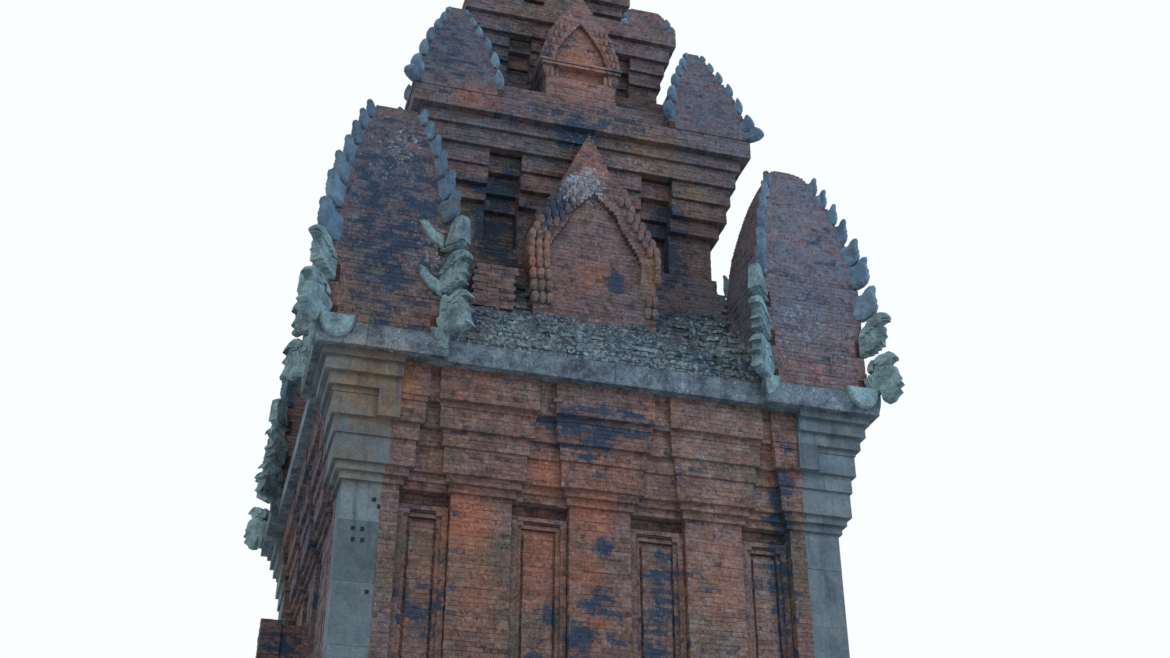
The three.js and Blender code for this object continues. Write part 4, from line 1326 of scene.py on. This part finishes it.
class TEMPLE_OT_ledge(bpy.types.Operator):
    """Lay the worn bricks of the ledge and the rubble on it"""

    bl_idname = "temple.ledge"
    bl_label = "Ledge"

    def execute(self, context):
        lay_bricks("ledge_bricks", ("ledge",), 51, "ledge_brick", uneven=0.01)
        chance = random.Random(52)
        rows = []
        for turn in range(4):
            for step in range(LEDGE_STEPS):
                top = LEDGE_FOOT + LEDGE_STEP * (step + 1)
                out = LEDGE_HALF - step / LEDGE_STEPS_A_METRE
                for _ in range(RUBBLE_A_STEP if step < LEDGE_STEPS - 1 else RUBBLE_ON_TOP):
                    u = chance.uniform(-RUBBLE_REACH, RUBBLE_REACH)
                    back = chance.uniform(0.0, 0.15)
                    size = tuple(chance.uniform(*ends) for ends in RUBBLE_SIZES)
                    place = from_side(u, -(out - back), top + size[2] * 0.4, turn)
                    angle = turn * math.pi / 2 + chance.uniform(-0.6, 0.6)
                    rows.append((place, size, angle, chance.random()))
        lay_pieces(
            "ledge_rubble", rows, unit_block(), "ledge_brick",
            joint=0.006, uneven=0.02, chip=0.01, seed=5,
        )
        # Stub of a broken brick pier beside the front gable
        left, out, foot = STUB_PLACE
        length, _, height = STUB_BRICK
        rows = []
        for course in range(STUB_COURSES):
            z = foot + height * (course + 0.5)
            inset = STUB_INSET * max(0, course - STUB_WORN_FROM)
            for k in range(3):
                u = left + inset + length * (k + 0.5) + STUB_BOND * (course % 2)
                rows.append(((u, out, z), STUB_BRICK, 0.0, chance.random()))
        lay_pieces("pier_stub", rows, unit_block(), "brick", joint=0.005, uneven=0.01, seed=6)
        return {"FINISHED"}


class TEMPLE_OT_storeys(bpy.types.Operator):
    """Lay the bricks of the false storeys"""

    bl_idname = "temple.storeys"
    bl_label = "Storey bricks"

    def execute(self, context):
        for level in (1, 2, 3):
            lay_bricks(f"storey_{level}_bricks", STOREYS[level], 60 + level)
        return {"FINISHED"}


class TEMPLE_OT_niches(bpy.types.Operator):
    """Lay the bricks of the gabled niches and the scales on their rims"""

    bl_idname = "temple.niches"
    bl_label = "Niches"

    def execute(self, context):
        for level in (1, 2):
            names = tuple(f"niche_{level}_{side}" for side in SIDES)
            lay_bricks(f"niche_{level}_bricks", names, 70 + level)
        chance = random.Random(73)
        rows = self.scales(chance)
        lay_pieces("niche_1_scales", rows, ball(), "brick", chip=0.006, uneven=0.01, seed=7)
        rows = self.lobes(chance)
        lay_pieces("niche_2_lobes", rows, ball(), "brick", chip=0.004, seed=8)
        rows = self.mouldings(chance)
        lay_pieces("niche_2_mouldings", rows, unit_block(), "brick", joint=0.004, seed=9)
        return {"FINISHED"}

    def scales(self, chance):
        """Columns of scales along the rims of the first niches, fewer on the worn right side."""
        rows = []
        for turn in range(4):
            for sign, columns in ((-1, 3), (1, 2)):
                for column in range(columns):
                    for k in range(RIM_SCALES):
                        t = RIM_START + RIM_REACH * k / (RIM_SCALES - 1)
                        i = int(t)
                        (w0, z0), (w1, z1) = NICHE_1_RIM[i], NICHE_1_RIM[i + 1]
                        w = w0 + (w1 - w0) * (t - i) - SCALE_INSET - SCALE_COLUMN * column
                        z = z0 + (z1 - z0) * (t - i)
                        if sign > 0 and chance.random() < LOST_SCALES:
                            continue
                        place = from_side(sign * w, -NICHE_1_FACE, z, turn)
                        rows.append((place, SCALE_SIZE, turn * math.pi / 2, chance.uniform(0.35, 0.95)))
        return rows

    def lobes(self, chance):
        """Columns of lobes on both sides of the second niches, on a long one at the foot."""
        rows = []
        for turn in range(4):
            angle = turn * math.pi / 2
            for sign in (-1, 1):
                for column in range(3):
                    aside = LOBE_COLUMN * column
                    for k in range(LOBE_COUNT):
                        z = LOBE_FOOT + LOBE_STEP * k
                        w = width_at(NICHE_2_SIDE, z) - LOBE_INSET - aside
                        place = from_side(sign * w, -LOBE_FACE, z, turn)
                        rows.append((place, LOBE_SIZE, angle, chance.uniform(0.5, 0.95)))
                    w, z = FOOT_LOBE_AT
                    place = from_side(sign * (w - aside), -FOOT_LOBE_FACE, z, turn)
                    rows.append((place, FOOT_LOBE_SIZE, angle, chance.uniform(0.5, 0.95)))
        return rows

    def mouldings(self, chance):
        """Mouldings across the foot of the second niches."""
        rows = []
        for turn in range(4):
            for z, half in NICHE_2_MOULDINGS:
                size = (2 * half / MOULDING_BRICKS, MOULDING_DEEP, MOULDING_HIGH)
                for k in range(MOULDING_BRICKS):
                    u = -half + 2 * half * (k + 0.5) / MOULDING_BRICKS
                    place = from_side(u, -MOULDING_FACE, z, turn)
                    rows.append((place, size, turn * math.pi / 2, chance.uniform(0.4, 0.9)))
        return rows


class TEMPLE_OT_turrets(bpy.types.Operator):
    """Dress the corner turrets with bricks, leaves and carved beasts"""

    bl_idname = "temple.turrets"
    bl_label = "Turrets"

    def execute(self, context):
        for level, spec in TURRETS.items():
            names = tuple(f"turret_{level}_{corner}" for corner in CORNERS)
            lay_bricks(f"turret_{level}_bricks", names, 80 + level)
            outline = LEAF_OUTLINE if level == 1 else BUD_OUTLINE
            for corner, name in enumerate(names):
                chance = random.Random(100 * level + corner)
                dress_top(name, spec, corner, chance, outline, chip=0.004, seed=corner + 1)
                if level == 1:
                    turret_carvings(name, spec, corner)
        return {"FINISHED"}


class TEMPLE_OT_crown(bpy.types.Operator):
    """Dress the crown"""

    bl_idname = "temple.crown"
    bl_label = "Crown"

    def execute(self, context):
        lay_bricks("crown_bricks", ("crown",), 91)
        dress_top("crown", CROWN, 0, random.Random(92), LEAF_OUTLINE, chip=0.006, seed=9)
        return {"FINISHED"}


class TEMPLE_OT_details(bpy.types.Operator):
    """Add the half-round corner stones, the pale wedges and the painted shade of the dowel holes of a pier"""

    bl_idname = "temple.details"
    bl_label = "Small stones"

    def execute(self, context):
        own_piece("corner_stones", join_parts(corner_stone_parts()), "carved")
        # Near-black boxes on the pier face: painted shade of the dowel holes
        holes = [((x, -HOLE_FACE, z), HOLE_SIZE, 0.0, 0.5) for x, z in DOWEL_HOLES]
        lay_pieces("dowel_holes", holes, unit_block(), "hole")
        return {"FINISHED"}


class TEMPLE_OT_stage(bpy.types.Operator):
    """Add the pale floor, the soft light and the camera of the picture"""

    bl_idname = "temple.stage"
    bl_label = "Stage"

    def execute(self, context):
        scene = context.scene
        points = [(x * FLOOR_HALF, y * FLOOR_HALF, 0) for x, y in ((-1, -1), (1, -1), (1, 1), (-1, 1))]
        floor = new_object("stage_floor", points, [(0, 1, 2, 3)])
        floor.data.materials.append(new_material("stage_pale", FLOOR_COLOUR, 0.95))
        scene.world = scene.world or bpy.data.worlds.new("World")
        scene.world.use_nodes = True
        g = Graph(scene.world.node_tree)
        back = g.tree.nodes["Background"]
        seen = g.add("ShaderNodeLightPath").outputs["Is Camera Ray"]
        g.set(back.inputs["Color"], g.mix(seen, SKY_LIGHT, SKY_SEEN))
        back.inputs["Strength"].default_value = 1.0
        sun = self.lamp("soft_sun", "SUN", SUN_STRENGTH, SUN_COLOUR)
        sun.data.angle = math.radians(SUN_WIDE)
        sun.rotation_euler = [math.radians(angle) for angle in SUN_TURN]
        glow = self.lamp("side_glow", "AREA", GLOW_STRENGTH, GLOW_COLOUR)
        glow.data.size = GLOW_WIDE
        glow.location = SIDE_GLOW
        glow.rotation_euler = (Vector(GLOW_TARGET) - Vector(SIDE_GLOW)).to_track_quat("-Z", "Y").to_euler()
        lens = bpy.data.cameras.new("picture_camera")
        lens.sensor_width = SENSOR
        lens.lens = SENSOR * FOCAL_PIXELS / PICTURE_WIDTH
        lens.shift_x, lens.shift_y = SHIFT
        lens.clip_end = 500
        eye = bpy.data.objects.new("picture_camera", lens)
        axes = Matrix((LOOK_RIGHT, LOOK_UP, tuple(-v for v in LOOK_AHEAD))).transposed()
        eye.matrix_world = Matrix.Translation(EYE) @ axes.to_4x4()
        scene.collection.objects.link(eye)
        scene.camera = eye
        scene.view_settings.view_transform = "Standard"
        return {"FINISHED"}

    def lamp(self, name, kind, energy, colour):
        light = bpy.data.lights.new(name, kind)
        light.energy = energy
        light.color = colour
        obj = bpy.data.objects.new(name, light)
        bpy.context.scene.collection.objects.link(obj)
        return obj


class TEMPLE_PT_panel(bpy.types.Panel):
    """Temple pieces"""

    bl_idname = "TEMPLE_PT_panel"
    bl_label = "Temple"
    bl_space_type = "VIEW_3D"
    bl_region_type = "UI"
    bl_category = "Temple"

    def draw(self, context):
        for group in (context.scene.temple_bricks, context.scene.temple_stones, context.scene.temple_colours):
            box = self.layout.box()
            for key in group.__annotations__:
                box.prop(group, key)
        for operator in OPERATORS:
            self.layout.operator(operator.bl_idname)


OPERATORS = (
    TEMPLE_OT_stage,
    TEMPLE_OT_solids,
    TEMPLE_OT_stonework,
    TEMPLE_OT_walls,
    TEMPLE_OT_ledge,
    TEMPLE_OT_storeys,
    TEMPLE_OT_niches,
    TEMPLE_OT_turrets,
    TEMPLE_OT_crown,
    TEMPLE_OT_details,
)
GROUPS = (
    (BrickSettings, "temple_bricks"),
    (StoneSettings, "temple_stones"),
    (ColourSettings, "temple_colours"),
)


def register():
    for group, key in GROUPS:
        bpy.utils.register_class(group)
        setattr(bpy.types.Scene, key, bpy.props.PointerProperty(type=group))
    for item in (*OPERATORS, TEMPLE_PT_panel):
        bpy.utils.register_class(item)


def unregister():
    for item in reversed((*OPERATORS, TEMPLE_PT_panel)):
        bpy.utils.unregister_class(item)
    for group, key in reversed(GROUPS):
        delattr(bpy.types.Scene, key)
        bpy.utils.unregister_class(group)


def main():
    register()
    for operator in OPERATORS:
        family, name = operator.bl_idname.split(".")
        getattr(getattr(bpy.ops, family), name)()


if __name__ == "__main__":
    main()
